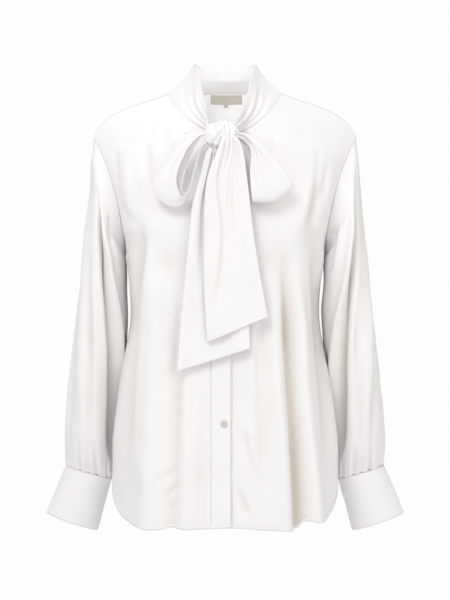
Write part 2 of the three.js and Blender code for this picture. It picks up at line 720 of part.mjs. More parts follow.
function makeBand(neckline) {
  const half = bandTop[bandTop.length - 1].at;
  const stations = bandTop.map((row) => row.at);
  const lower = neckline.map(({ piece, spot }) => piece.rows[spot[0]][spot[1]].clone());
  const columns = 2 * half;
  const rows = [];
  for (let j = 0; j <= bandRows; j += 1) {
    const up = j / bandRows;
    const line = [];
    for (let i = 0; i <= columns; i += 1) {
      const side = i <= half ? -1 : 1;
      const at = i <= half ? i : columns - i;
      const free = pointThrough(stations, bandTop, at);
      free.x = free.x * side + knot.x * (1 - smooth(at / 3));
      let sewn;
      if (at < 2) {
        const end = new THREE.Vector3(bandEnd.x * side + knot.x, bandEnd.y, bandEnd.z);
        sewn = end.lerp(lower[side < 0 ? 0 : lower.length - 1], at / 2);
      } else {
        sewn = lower[i - 2].clone();
      }
      const point = sewn.clone().lerp(free, up);
      const outward = new THREE.Vector3(point.x, point.y - 10, 0).normalize();
      const hollow = bandHollow * Math.sin(Math.PI * up) * smooth((at - 3) / 3);
      point.addScaledVector(outward, -hollow);
      line.push(at === 0 ? onKnot(point, bandSeat) : point);
    }
    rows.push(line);
  }
  const piece = makePiece("neck_band", rows, { turned: true, wall: doubleWall });
  findNormals(piece);
  return piece;
}

// Point of the knot's surface in a direction from its middle, with a few folds across it
function knotPoint(direction) {
  const wave = 0.5 + 0.5 * Math.cos(9 * direction.z + 4 * direction.x);
  const ripple = 1 - (knotRipple / knot.halfDepth) * wave;
  const square = 1 - 0.12 * direction.x ** 2 * direction.y ** 2;
  return new THREE.Vector3(
    knot.x + direction.x * knot.halfWidth * ripple * square,
    knot.y + direction.y * knot.halfDepth * ripple * square,
    knot.z + direction.z * knot.halfHeight * ripple * square
  );
}

// Moves a point towards the knot's middle until it is a distance away from the surface
function onKnot(point, distance) {
  const middle = new THREE.Vector3(knot.x, knot.y, knot.z);
  const halves = new THREE.Vector3(knot.halfWidth, knot.halfDepth, knot.halfHeight);
  const surface = knotPoint(point.clone().sub(middle).divide(halves).normalize());
  const outward = surface.clone().sub(middle).normalize();
  return surface.addScaledVector(outward, distance);
}

function addKnot() {
  const geometry = new THREE.SphereGeometry(1, 20, 12);
  geometry.deleteAttribute("normal");
  geometry.deleteAttribute("uv");
  const merged = mergeVertices(geometry);
  const spots = merged.getAttribute("position");
  for (let k = 0; k < spots.count; k += 1) {
    const place = knotPoint(new THREE.Vector3().fromBufferAttribute(spots, k));
    spots.setXYZ(k, place.x, place.y, place.z);
  }
  addMesh("bow_knot", merged, cloth);
}

// A loop is a strip of cloth that leaves the knot, turns at its tip and comes back. Its width runs from
// the near rim over a soft fold to the far rim.
function makeLoop(name, rims, turned) {
  const place = (rim, at) => pointThrough(rim.map((spot) => spot.at), rim, at);
  const rows = [];
  for (let j = 0; j <= loopRows; j += 1) {
    const across = j / loopRows;
    const line = [];
    for (let i = 0; i <= loopColumns; i += 1) {
      const at = i / loopColumns;
      const rim = [place(rims.near, at), place(rims.fold, at), place(rims.far, at)];
      const point = pointThrough([0, 0.5, 1], rim, across);
      line.push(i === 0 || i === loopColumns ? onKnot(point, 1.6 * knotSeat) : point);
    }
    rows.push(line);
  }
  const piece = makePiece(name, rows, { turned, wall: doubleWall });
  findNormals(piece);
  return piece;
}

function makeTail(name, lines, phase, rootSeat) {
  const stations = lines.map((line) => line.at);
  const at = (key, station) => through(stations, lines.map((line) => line[key]), station);
  const rows = [];
  for (let j = tailRows; j >= 0; j -= 1) {
    const station = (j / tailRows) ** 1.15;
    const line = [];
    for (let i = 0; i <= tailColumns; i += 1) {
      const across = i / tailColumns;
      const fade = smooth(station * 4);
      const fold = tailFold * fade * Math.sin(2 * Math.PI * (1.1 * across + phase) - station);
      const point = new THREE.Vector3(
        THREE.MathUtils.lerp(at("leftX", station), at("rightX", station), across),
        at("y", station) - Math.max(-0.6, fold),
        THREE.MathUtils.lerp(at("leftZ", station), at("rightZ", station), across)
      );
      line.push(j === 0 ? onKnot(point, rootSeat) : point);
    }
    rows.push(line);
  }
  const piece = makePiece(name, rows, { wall: doubleWall });
  findNormals(piece);
  return piece;
}

// A round button with a raised rim
function addButton(name, seat) {
  const profile = [
    new THREE.Vector2(0, 0),
    new THREE.Vector2(buttonRadius - 0.5, 0),
    new THREE.Vector2(buttonRadius, 0.8),
    new THREE.Vector2(buttonRadius - 0.3, buttonHeight),
    new THREE.Vector2(buttonRadius - 1.3, buttonHeight),
    new THREE.Vector2(buttonRadius - 2.1, buttonHeight - buttonRim),
    new THREE.Vector2(0, buttonHeight - buttonRim),
  ];
  const button = addMesh(name, new THREE.LatheGeometry(profile, 12), shell);
  button.quaternion.setFromUnitVectors(new THREE.Vector3(0, 1, 0), seat.normal);
  button.position.copy(seat.point);
}

// Place on a panel at a height, a given distance across from the middle line
function seatAt(piece, x, z, distance) {
  let row = 0;
  let column = 0;
  for (let pass = 0; pass < 12; pass += 1) {
    row = 0;
    while (row < topRow - 1 && pointOn(piece, row + 1, column, 0).point.z < z) row += 1;
    const low = pointOn(piece, row, column, 0).point.z;
    const high = pointOn(piece, row + 1, column, 0).point.z;
    row += (z - low) / (high - low);
    const here = pointOn(piece, row, column, 0).point.x;
    const step = pointOn(piece, row, column + 0.5, 0).point.x - here;
    column = Math.max(0, column + (0.5 * (x - here)) / step);
  }
  return pointOn(piece, row, column, distance);
}

// A label lies on the inside of the back below the neck seam
function makeLabel(name, back, width, height, below, centre, under) {
  const middle = backColumns;
  const acrossStep = back.rows[topRow][middle].distanceTo(back.rows[topRow][middle + 3]) / 3;
  const downStep = back.rows[topRow][middle].distanceTo(back.rows[topRow - 1][middle]);
  const depth = clothWall + under;
  const rows = [];
  for (let j = 0; j <= 2; j += 1) {
    const line = [];
    for (let i = 0; i <= 6; i += 1) {
      const column = middle - (centre - width * (i / 6 - 0.5)) / acrossStep;
      const row = topRow - (below + height * (1 - j / 2)) / downStep;
      line.push(pointOn(back, row, column, -depth).point);
    }
    rows.push(line);
  }
  const piece = makePiece(name, rows, { wall: labelWall, look: woven });
  findNormals(piece);
  return piece;
}

const overWall = (row, column) => (column <= 2 ? placketWall : clothWall);
const fronts = {
  right: makeFront("front_right", -1, overLap, lapLift, overWall),
  left: makeFront("front_left", 1, underLap, -lapDrop, clothWall),
};
const back = makeBack();
shareEdges(fronts.right, back, -1);
shareEdges(fronts.left, back, 1);
findNormals(back);

const sleeves = {
  right: makeSleeve("sleeve_right", -1, armholeLine(fronts.right, back, -1)),
  left: makeSleeve("sleeve_left", 1, armholeLine(fronts.left, back, 1)),
};
const neckline = bandNeckline(fronts, back);
const band = makeBand(neckline);

for (const [key, side] of [["right", -1], ["left", 1]]) {
  const front = fronts[key];
  const sleeve = sleeves[key];
  const top = sleeve.rows.length - 1;
  const half = topRow - underarmRow;
  const outer = backColumn(side, backColumns);
  const inward = side > 0 ? 1 : -1;
  const steps = Array.from({ length: half + 1 }, (_, k) => k);
  sew(
    front,
    steps.map((k) => [underarmRow + k, frontColumns, 0, -1]),
    sleeve,
    steps.map((k) => [top, k, -1, 0])
  );
  sew(
    back,
    steps.map((k) => [underarmRow + k, outer, 0, inward]),
    sleeve,
    steps.map((k) => [top, (sleeveColumns - k) % sleeveColumns, -1, 0])
  );
  const seam = Array.from({ length: underarmRow + 1 }, (_, j) => j);
  sew(
    front,
    seam.map((j) => [j, frontColumns, 0, -1]),
    back,
    seam.map((j) => [j, outer, 0, inward])
  );
  const shoulder = Array.from({ length: frontColumns + 1 }, (_, i) => i);
  sew(
    front,
    shoulder.map((i) => [topRow, i, -1, 0]),
    back,
    shoulder.map((i) => [topRow, backColumn(side, backNeckColumns + i), -1, 0])
  );
  meet([
    { piece: front, row: topRow, column: frontColumns },
    { piece: back, row: topRow, column: outer },
    { piece: sleeve, row: top, column: half },
  ]);
}

for (const owner of [fronts.right, back, fronts.left]) {
  const used = neckline.map((item, k) => ({ ...item, k })).filter((item) => item.piece === owner);
  if (owner === back) {
    used.unshift({ spot: [topRow, backColumn(-1, backNeckColumns), -1, 0], k: used[0].k - 1 });
    used.push({ spot: [topRow, backColumn(1, backNeckColumns), -1, 0], k: used[used.length - 1].k + 1 });
  }
  sew(
    owner,
    used.map((item) => item.spot),
    band,
    used.map((item) => [0, item.k + 2, 1, 0]),
    neckSeamGap
  );
}
for (const [key, side] of [["right", -1], ["left", 1]]) {
  const sideNeck = bandTop[bandTop.length - 1].at + side * backNeckColumns;
  meet([
    { piece: fronts[key], row: topRow, column: 0 },
    { piece: back, row: topRow, column: backColumn(side, backNeckColumns) },
    { piece: band, row: 0, column: sideNeck },
  ]);
}

const cuffs = { right: makeCuff("cuff_right", -1), left: makeCuff("cuff_left", 1) };
for (const [key, side] of [["right", -1], ["left", 1]]) {
  flattenRing(sleeves[key], 0, side, 1);
  flattenRing(cuffs[key], 2, side, -1);
}

for (const pair of [fronts, sleeves, cuffs]) {
  addPiece(pair.right);
  addPiece(pair.left);
}
addPiece(back);
addPiece(band);

addKnot();
addPiece(makeLoop("bow_loop_right", rightLoopRims, true));
addPiece(makeLoop("bow_loop_left", leftLoopRims, false));
addPiece(makeTail("tail_over", overTail, 0.1, doubleWall + knotSeat));
addPiece(makeTail("tail_under", underTail, 0.45, knotSeat));

frontButtonHeights.forEach((height, k) => {
  addButton(`button_front_${k + 1}`, seatAt(fronts.right, -1.5, height, buttonStandOff));
});
for (const key of ["right", "left"]) {
  cuffButtonSpots.forEach((up, k) => {
    addButton(`button_cuff_${key}_${k + 1}`, pointOn(cuffs[key], 2 * up, cuffColumns - 1.1, buttonStandOff));
  });
}
addPiece(makeLabel("label_neck", back, labelWidth, labelHeight, 2, 2.5, seamGap));
const tabDepth = 3 * seamGap + labelWall;
addPiece(makeLabel("label_size", back, sizeTabWidth, sizeTabHeight, labelHeight, 2, tabDepth));

export default blouse;
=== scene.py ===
import math

import bmesh
import bpy
import numpy as np
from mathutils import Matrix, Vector, noise


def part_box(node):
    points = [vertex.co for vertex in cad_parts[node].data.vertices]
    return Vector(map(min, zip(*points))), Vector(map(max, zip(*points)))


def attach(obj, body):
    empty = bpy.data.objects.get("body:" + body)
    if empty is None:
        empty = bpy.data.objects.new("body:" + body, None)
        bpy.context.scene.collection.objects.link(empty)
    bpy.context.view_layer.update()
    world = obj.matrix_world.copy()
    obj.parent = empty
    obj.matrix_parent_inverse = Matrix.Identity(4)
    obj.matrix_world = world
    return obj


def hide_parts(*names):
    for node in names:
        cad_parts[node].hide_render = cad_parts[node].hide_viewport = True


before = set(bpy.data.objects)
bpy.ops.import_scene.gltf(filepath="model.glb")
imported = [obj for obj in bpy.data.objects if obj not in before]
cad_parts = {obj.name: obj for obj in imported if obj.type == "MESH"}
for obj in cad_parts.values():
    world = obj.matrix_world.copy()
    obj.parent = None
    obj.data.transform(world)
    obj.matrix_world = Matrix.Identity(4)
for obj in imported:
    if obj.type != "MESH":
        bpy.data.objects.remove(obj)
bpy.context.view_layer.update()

# A white blouse with a bow at the neck, filled out as if it were worn.
# Lengths in the tables of the pieces are in millimetres. Camera, light, finishes and floor are in metres, as
# the meshes are in the end.
millimetre = 0.001

# Camera and light

view = {"distance": 3.0, "height": -0.325, "lens": 112.5}
light = {
    "background": (0.985, 0.985, 0.985),
    "sky": (1.0, 0.985, 0.968),
    "skyStrength": 0.7,
    "keyPower": 29,
    "fillPower": 11,
    "topPower": 7,
    "insidePower": 0.08,
}


def addCamera():
    data = bpy.data.cameras.new("camera")
    data.lens = view["lens"]
    data.sensor_width = 36
    camera = bpy.data.objects.new("camera", data)
    camera.location = (0, -view["distance"], view["height"])
    camera.rotation_euler = (math.pi / 2, 0, 0)
    bpy.context.scene.collection.objects.link(camera)
    bpy.context.scene.camera = camera


def addLight(name, place, aim, size, power, colour):
    data = bpy.data.lights.new(name, "AREA")
    data.shape = "DISK"
    data.size = size
    data.energy = power
    data.color = colour
    lamp = bpy.data.objects.new(name, data)
    lamp.visible_camera = False
    lamp.location = place
    lamp.rotation_euler = (Vector(aim) - Vector(place)).to_track_quat("-Z", "Y").to_euler()
    bpy.context.scene.collection.objects.link(lamp)


def addWorld():
    world = bpy.data.worlds.new("studio")
    bpy.context.scene.world = world
    world.use_nodes = True
    tree = world.node_tree
    tree.nodes.clear()
    path = tree.nodes.new("ShaderNodeLightPath")
    seen = tree.nodes.new("ShaderNodeBackground")
    seen.inputs["Color"].default_value = (*light["background"], 1)
    sky = tree.nodes.new("ShaderNodeBackground")
    sky.inputs["Color"].default_value = (*light["sky"], 1)
    sky.inputs["Strength"].default_value = light["skyStrength"]
    mix = tree.nodes.new("ShaderNodeMixShader")
    out = tree.nodes.new("ShaderNodeOutputWorld")
    tree.links.new(path.outputs["Is Camera Ray"], mix.inputs[0])
    tree.links.new(sky.outputs[0], mix.inputs[1])
    tree.links.new(seen.outputs[0], mix.inputs[2])
    tree.links.new(mix.outputs[0], out.inputs["Surface"])


addCamera()
addWorld()
addLight("key", (-0.9, -2.3, 1.7), (0, 0, -0.35), 1.3, light["keyPower"], (0.985, 0.99, 1))
addLight("fill", (1.5, -2.5, 0.2), (0, 0, -0.4), 1.8, light["fillPower"], (1, 0.99, 0.98))
addLight("inside", (0, -0.03, -0.05), (0, 0.09, 0.03), 0.07, light["insidePower"], (1, 1, 1))
addLight("top", (-0.3, 0.2, 2.1), (0, 0, -0.2), 1.6, light["topPower"], (1, 1, 1))
scene = bpy.context.scene
scene.view_settings.view_transform = "Standard"
scene.view_settings.look = "None"
print("camera and light")

# Shader sums


class Signal:  # an output of a shader node; sums on it add Math nodes
    def __init__(self, socket):
        self.socket = socket

    def math(self, operation, other=0.0):
        tree = self.socket.id_data
        node = tree.nodes.new("ShaderNodeMath")
        node.operation = operation
        for entry, value in zip(node.inputs, (self, other)):
            feed(tree, entry, value)
        return Signal(node.outputs[0])

    def __add__(self, other):
        return self.math("ADD", other)

    def __mul__(self, other):
        return self.math("MULTIPLY", other)

    def __sub__(self, other):
        return self.math("SUBTRACT", other)

    def __gt__(self, other):
        return self.math("GREATER_THAN", other)

    def __lt__(self, other):
        return self.math("LESS_THAN", other)


def feed(tree, entry, value):
    if isinstance(value, Signal):
        tree.links.new(value.socket, entry)
    else:
        entry.default_value = value


class Finish:  # a material, and one way to add any node to it
    def __init__(self, name):
        self.material = bpy.data.materials.new(name)
        self.material.use_nodes = True
        self.tree = self.material.node_tree
        self.tree.nodes.clear()

    def node(self, kind, settings=None, values=None, output=0):
        node = self.tree.nodes.new("ShaderNode" + kind)
        for key, value in (settings or {}).items():
            setattr(node, key, value)
        for key, value in (values or {}).items():
            feed(self.tree, node.inputs[key], value)
        return Signal(node.outputs[output])

    def blend(self, factor, low, high):
        low = low if isinstance(low, Signal) else (*low, 1)
        return self.node("Mix", {"data_type": "RGBA"}, {"Factor": factor, 6: low, 7: (*high, 1)}, output=2)

    def onCloth(self):  # the place on the cloth in metres, and its two parts
        place = self.node("UVMap", {"uv_map": "cloth"})
        parts = self.tree.nodes.new("ShaderNodeSeparateXYZ")
        self.tree.links.new(place.socket, parts.inputs[0])
        return place, Signal(parts.outputs[0]), Signal(parts.outputs[1])

    def noise(self, place, scale, **more):
        return self.node("TexNoise", {}, {"Vector": place, "Scale": scale, **more})

    def close(self, values):  # the material with these values on its surface
        shader = self.node("BsdfPrincipled", {}, values)
        out = self.tree.nodes.new("ShaderNodeOutputMaterial")
        self.tree.links.new(shader.socket, out.inputs["Surface"])
        return self.material


# Finishes

crepe = {
    "colour": (0.905, 0.9, 0.902),
    "shade": (0.89, 0.878, 0.868),
    # painted shade: a warm darker colour laid into the troughs of the folds, where shade falls
    "paintedFoldShade": (0.79, 0.745, 0.69),
    "paintedFoldShadeShare": 0.055,  # how much each millimetre of a trough darkens the cloth towards the warm painted fold shade
    "roughness": 0.46,
    "sheen": 0.12,
    "threadPitch": 0.00042,
    "pebble": 0.0011,
    "relief": 0.00006,
}
stitch = {"inset": 0.0045, "pitch": 0.0024, "halfWidth": 0.00035, "height": 4.0}
tape = {"low": (0.50, 0.465, 0.40), "high": (0.66, 0.625, 0.55), "warpPitch": 0.0005, "weftPitch": 0.0004}
buttonShell = {"low": (0.55, 0.53, 0.49), "high": (0.75, 0.73, 0.7)}
threadTone = {"low": (0.72, 0.70, 0.66), "high": (0.88, 0.87, 0.84)}


def clothFinish(name, stitchLines=()):
    finish = Finish(name)
    place, across, along = finish.onCloth()
    cloud = finish.noise(place, 26.0, Detail=3.0, Roughness=0.55)
    pebble = finish.noise(place, 1 / crepe["pebble"], Detail=2.0)
    warp = (across * (2 * math.pi / crepe["threadPitch"])).math("SINE")
    weft = (along * (2 * math.pi / crepe["threadPitch"])).math("SINE")
    weave = warp * weft * 0.25 + 0.5
    height = weave * 0.45 + pebble * 0.55
    colour = finish.blend(cloud, crepe["shade"], crepe["colour"])
    # painted shade in the folds: the trough depth blends the cloth towards a warm darker colour
    paintedFoldShade = finish.node("Attribute", {"attribute_name": "hollow"}, {}, output=2)
    colour = finish.blend(paintedFoldShade * crepe["paintedFoldShadeShare"], colour, crepe["paintedFoldShade"])
    for spot in stitchLines:
        dash = (across * (2 * math.pi / stitch["pitch"])).math("SINE") > -0.35
        line = (along - spot).math("ABSOLUTE") < stitch["halfWidth"]
        height = height + line * dash * stitch["height"]
    bump = finish.node("Bump", {}, {"Strength": 0.55, "Distance": crepe["relief"], "Height": height})
    return finish.close({
        "Base Color": colour,
        "Roughness": cloud * 0.10 + (crepe["roughness"] - 0.05),
        "Normal": bump,
        "Sheen Weight": crepe["sheen"],
        "Sheen Roughness": 0.45,
        "Specular IOR Level": 0.38,
    })


def tapeFinish():
    finish = Finish("tape")
    place, across, along = finish.onCloth()
    warp = (across * (2 * math.pi / tape["warpPitch"])).math("SINE")
    threads = warp * (along * (2 * math.pi / tape["weftPitch"])).math("SINE")
    cloud = finish.noise(place, 900.0, Detail=2.0)
    colour = finish.blend(threads * 0.3 + cloud * 0.6, tape["low"], tape["high"])
    relief = threads * 0.5 + cloud * 0.5
    bump = finish.node("Bump", {}, {"Strength": 0.6, "Distance": 0.00012, "Height": relief})
    return finish.close({"Base Color": colour, "Roughness": 0.7, "Normal": bump})


def buttonFinish():
    finish = Finish("button")
    place = finish.node("TexCoord", output=3)
    cloud = finish.noise(place, 260.0, Detail=3.0, Distortion=0.8)
    colour = finish.blend(cloud, buttonShell["low"], buttonShell["high"])
    return finish.close({"Base Color": colour, "Roughness": cloud * 0.12 + 0.16, "Coat Weight": 0.3})


def threadFinish():
    finish = Finish("thread")
    place = finish.node("TexCoord", output=3)
    twist = finish.noise(place, 3000.0, Detail=1.0)
    colour = finish.blend(twist, threadTone["low"], threadTone["high"])
    return finish.close({"Base Color": colour, "Roughness": 0.65})


clothMaterial = clothFinish("crepe")
hemMaterial = clothFinish("crepeHem", [stitch["inset"]])
tapeMaterial = tapeFinish()
buttonMaterial = buttonFinish()
threadMaterial = threadFinish()
print("finishes")

# Curves


def smooth(value):
    t = np.clip(value, 0, 1)
    return t * t * (3 - 2 * t)


def through(stations, values, at):  # smooth curve through values at uneven stations
    last = len(stations) - 1
    k = 0
    while k < last - 1 and at > stations[k + 1]:
        k += 1
    span = stations[k + 1] - stations[k]
    t = (at - stations[k]) / span
    rise = (values[k + 1] - values[k]) / span
    before = (values[k] - values[k - 1]) / (stations[k] - stations[k - 1]) if k > 0 else rise
    after = (values[k + 2] - values[k + 1]) / (stations[k + 2] - stations[k + 1]) if k < last - 1 else rise
    return (
        values[k] * (2 * t**3 - 3 * t**2 + 1)
        + (before + rise) * (0.5 * span * (t**3 - 2 * t**2 + t))
        + values[k + 1] * (3 * t**2 - 2 * t**3)
        + (rise + after) * (0.5 * span * (t**3 - t**2))
    )


def bezier(points, t):
    a, b, c, d = points
    return a * (1 - t) ** 3 + b * (3 * t * (1 - t) ** 2) + c * (3 * t * t * (1 - t)) + d * t**3


# Sheets of cloth


walkStep = 0.004  # share of the sheet


class Cloth:  # a grid of points on the outer face: rows go up, columns go across
    def __init__(self, points, closed=False):
        self.points = points
        self.closed = closed
        self.hollow = np.zeros(points.shape[:2])  # how deep each point lies in a trough, which the cloth finish turns into painted shade

    def normals(self):
        p = self.points
        if self.closed:
            ring = p[:, :-1]
            right = np.roll(ring, -1, axis=1) - np.roll(ring, 1, axis=1)
            right = np.concatenate([right, right[:, :1]], axis=1)
        else:
            right = np.gradient(p, axis=1)
        up = np.gradient(p, axis=0)
        out = np.cross(right, up)
        return out / np.maximum(np.linalg.norm(out, axis=2, keepdims=True), 1e-9)

    def push(self, height):
        self.points = self.points + self.normals() * height[..., None]
        self.hollow = self.hollow - height

    def at(self, u, v, out=0.0):  # u across and v up, from 0 to 1, moved out by a distance
        rows, columns = self.points.shape[:2]
        x, y = u * (columns - 1), v * (rows - 1)
        i, j = min(int(x), columns - 2), min(int(y), rows - 2)
        fx, fy = x - i, y - j
        if not hasattr(self, "faceOut"):
            self.faceOut = self.normals()

        def mix(grid):
            low = grid[j, i] * (1 - fx) + grid[j, i + 1] * fx
            high = grid[j + 1, i] * (1 - fx) + grid[j + 1, i + 1] * fx
            return low * (1 - fy) + high * fy

        return mix(self.points) + mix(self.faceOut) * out

    def upFrom(self, u, start, distance):  # v at a distance along the cloth from v = start
        return self.walk(lambda v: self.at(u, v), start, distance)

    def acrossFrom(self, v, start, distance):
        return self.walk(lambda u: self.at(u, v), start, distance)

    def walk(self, spot, start, distance):
        step = math.copysign(walkStep, distance)
        gone, here, last = 0.0, start, spot(start)
        while gone < abs(distance) and 0 <= here + step <= 1:
            after = spot(here + step)
            gone += np.linalg.norm(after - last)
            here, last = here + step, after
        length = max(np.linalg.norm(spot(here) - spot(here - step)), 1e-6)
        return here - step * max(0.0, gone - abs(distance)) / length


def shares(spec):  # the share across and the share up of every point of a sheet
    columns, rows = spec["grid"]
    return np.meshgrid(np.linspace(0, 1, columns + 1), np.linspace(0, 1, rows + 1))


def layCloth(spec, place):
    columns, rows = spec["grid"]
    grid = [[place(i / columns, j / rows) for i in range(columns + 1)] for j in range(rows + 1)]
    return Cloth(np.array([[tuple(point) for point in line] for line in grid]), spec.get("closed", False))


def tuck(cloth, row, out, under):  # slide an edge row on, under the cloth that it is sewn to
    inner = 1 if row == 0 else -2
    way = cloth.points[row] - cloth.points[inner]
    way /= np.maximum(np.linalg.norm(way, axis=-1, keepdims=True), 1e-6)
    cloth.points[row] += way * out - cloth.normals()[row] * under


def fold(path, width, depth, lean=0, ends=(0.3, 0.35)):
    # a positive depth is a trough; lean raises a bank on one side; ends are the shares over which it fades
    return {"path": path, "width": width, "depth": depth, "lean": lean, "ends": ends}


def stretch(folds, across, up):  # the same folds with their paths in millimetres
    return [{**one, "path": [(a * across, b * up) for a, b in one["path"]]} for one in folds]


foldSteps = 12


def creases(spots, folds):  # height of the soft troughs and ridges that follow paths over the cloth
    height = np.zeros(spots.shape[:-1])
    for number, one in enumerate(folds):
        path = [np.array(p, float) for p in one["path"]]
        stations = list(range(len(path)))
        fine = [through(stations, path, k * (len(path) - 1) / foldSteps) for k in range(foldSteps + 1)]
        lengths = np.cumsum([0] + [np.linalg.norm(b - a) for a, b in zip(fine, fine[1:])])
        best = np.full(height.shape, 1e9)
        along = np.zeros(height.shape)
        side = np.zeros(height.shape)
        for k, (a, b) in enumerate(zip(fine, fine[1:])):
            run = b - a
            away = spots - a
            t = np.clip((away @ run) / (run @ run), 0, 1)
            off = away - t[..., None] * run
            gap = np.hypot(off[..., 0], off[..., 1])
            nearer = gap < best
            best = np.where(nearer, gap, best)
            along = np.where(nearer, (lengths[k] + t * (lengths[k + 1] - lengths[k])) / lengths[-1], along)
            side = np.where(nearer, np.sign(run[0] * off[..., 1] - run[1] * off[..., 0]), side)
        start, end = one["ends"]
        strength = smooth(along / start) if start else 1.0
        strength = strength * (smooth((1 - along) / end) if end else 1.0)
        strength = strength * (1 + 0.18 * np.sin(9 * along + 2.3 * number))
        width = one["width"] * (0.75 + 0.4 * along)
        lean = one["lean"]
        trough = np.exp(-((best / width) ** 2))
        bank = np.exp(-(((best * side - lean * 1.7 * width) / (1.25 * width)) ** 2)) if lean else 0
        height -= one["depth"] * strength * (trough - 0.45 * bank)
    return height


def ripple(points, size, depth, seed):  # soft unevenness of the cloth
    flat = points.reshape(-1, 3) / size
    wave = [noise.noise(Vector(p) + Vector((seed, 0, 0))) for p in flat]
    return depth * np.array(wave).reshape(points.shape[:2])


def linkMesh(name, mesh, material):
    data = bpy.data.meshes.new(name)
    mesh.to_mesh(data)
    mesh.free()
    data.materials.append(material)
    piece = bpy.data.objects.new(name, data)
    bpy.context.scene.collection.objects.link(piece)
    return piece


def enter(piece, node=None):  # the piece rides on the part and may take the place of a solid
    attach(piece, "root")
    if node:
        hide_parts(node)


def makeMesh(name, cloth, spec, node=None, material=None, turned=False):
    rows, columns = cloth.points.shape[:2]
    mesh = bmesh.new()
    bmesh.ops.create_grid(mesh, x_segments=columns - 1, y_segments=rows - 1, size=0.5)
    layer = mesh.loops.layers.uv.new("cloth")
    # the trough depth of each point, which the cloth finish turns into painted shade
    hollow = mesh.verts.layers.float.new("hollow")
    width, length = spec["flat"]
    for face in mesh.faces:
        for loop in face.loops:
            spot = loop.vert.co
            loop[layer].uv = ((spot.x + 0.5) * width * millimetre, (spot.y + 0.5) * length * millimetre)
    for vert in mesh.verts:
        i = round((vert.co.x + 0.5) * (columns - 1))
        j = round((vert.co.y + 0.5) * (rows - 1))
        vert.co = Vector(cloth.points[j, i]) * millimetre
        vert[hollow] = cloth.hollow[j, i]
    if cloth.closed:
        bmesh.ops.remove_doubles(mesh, verts=mesh.verts, dist=1e-6)
    if turned:
        bmesh.ops.reverse_faces(mesh, faces=mesh.faces)
    for face in mesh.faces:
        face.smooth = True
    piece = linkMesh(name, mesh, material or clothMaterial)
    wall = piece.modifiers.new("wall", "SOLIDIFY")
    wall.thickness = spec["wall"] * millimetre
    wall.offset = -1
    enter(piece, node)
    return piece


# Body panels

rowOf = {"underarm": 10, "neck": 17, "top": 24}
seam = {"slide": 1.6, "under": 0.5}  # how far an edge row goes on under the next piece
lap = {"over": 10, "under": 20, "flat": 26, "columns": 2, "share": 0.1, "lift": 1.2, "drop": 1.5}
frontColumns = 14
backNeckColumns = 5
backNeckShare = 0.3
hem = {"rise": 68, "start": 0.55, "power": 1.6, "shiftShare": 0.14}
handleDrop = {"near": 0.25, "far": 0.33}


def panelRow(row, inner, near, far, outer):  # a level of a panel: its two ends, and the handles between them
    return {"row": row, "inner": inner, "near": near, "far": far, "outer": outer}


frontRows = [
    panelRow(0, (0, -125, -676), 95, (182, -98), (180, 5, -676)),
    panelRow(3, (0, -126, -560), 95, (180, -100), (178, 5, -540)),
    panelRow(6, (0, -127, -450), 93, (169, -102), (166, 5, -440)),
    panelRow(8, (0, -128, -352), 90, (155, -104), (151, 5, -350)),
    panelRow(10, (0, -128, -252), 88, (160, -110), (158, 5, -245)),
    panelRow(12, (0, -125, -205), 86, (164, -118), (161.5, -28, -214)),
    panelRow(14.5, (0, -113, -140), 82, (164, -108), (171, -45, -165)),
    panelRow(17, (0, -97, -68), 62, (156, -88), (184, -40, -122)),
    panelRow(19, (30, -92, -61), 72, (168, -56), (192, -29, -102)),
    panelRow(21.5, (68, -62, -33), 94, (178, -28), (201, -14, -83)),
    panelRow(24, (91, 5, 6), 130, (195, 2), (210, 0, -66)),
]
backRows = [
    panelRow(0, (0, 112, -676), 90, (182, 92), (180, 5, -676)),
    panelRow(3, (0, 112, -560), 90, (180, 90), (178, 5, -540)),
    panelRow(6, (0, 109, -450), 88, (169, 90), (166, 5, -440)),
    panelRow(8, (0, 105, -352), 86, (155, 92), (151, 5, -350)),
    panelRow(10, (0, 104, -252), 86, (162, 100), (158, 5, -245)),
    panelRow(12, (0, 107, -205), 85, (168, 104), (165, 36, -214)),
    panelRow(14.5, (0, 110, -150), 85, (174, 102), (178, 52, -165)),
    panelRow(17, (0, 110, -95), 80, (178, 92), (189, 47, -122)),
    panelRow(19, (0, 108, -55), 76, (182, 68), (196, 34, -102)),
    panelRow(21.5, (0, 102, -14), 80, (186, 42), (203, 17, -83)),
]
backNeck = [Vector((0, 93, 16)), Vector((48, 93, 15)), Vector((88, 58, 10)), Vector((91, 5, 6))]


def rowPoint(row, share, startX=None):
    inner, outer = Vector(row["inner"]), Vector(row["outer"])
    if startX is not None:
        inner.x = startX
    drop = outer.z - inner.z
    near = Vector((row["near"], inner.y, inner.z + drop * handleDrop["near"]))
    far = Vector((*row["far"], inner.z + drop * handleDrop["far"]))
    point = bezier((inner, near, far, outer), share)
    if row["row"] == 0:
        point.z += hem["rise"] * max(0, (share - hem["start"]) / (1 - hem["start"])) ** hem["power"]
    return point


def frontShare(column):
    if column <= lap["columns"]:
        return lap["share"] * column / lap["columns"]
    return lap["share"] + (1 - lap["share"]) * (column - lap["columns"]) / (frontColumns - lap["columns"])


def backShare(column):
    if column <= backNeckColumns:
        return backNeckShare * column / backNeckColumns
    return backNeckShare + (1 - backNeckShare) * frontShare(column - backNeckColumns)


def frontStation(row, column, lapWidth):
    if row["row"] > rowOf["neck"]:
        return rowPoint(row, frontShare(column))
    if column >= lap["columns"]:
        return rowPoint(row, (column - lap["columns"]) / (frontColumns - lap["columns"]), lap["flat"])
    x = -lapWidth + (lap["flat"] + lapWidth) * column / lap["columns"]
    return Vector((x, row["inner"][1], row["inner"][2]))


def frontBase(column, row, lapWidth):
    stations = [line["row"] for line in frontRows]
    return through(stations, [frontStation(line, column, lapWidth) for line in frontRows], row)


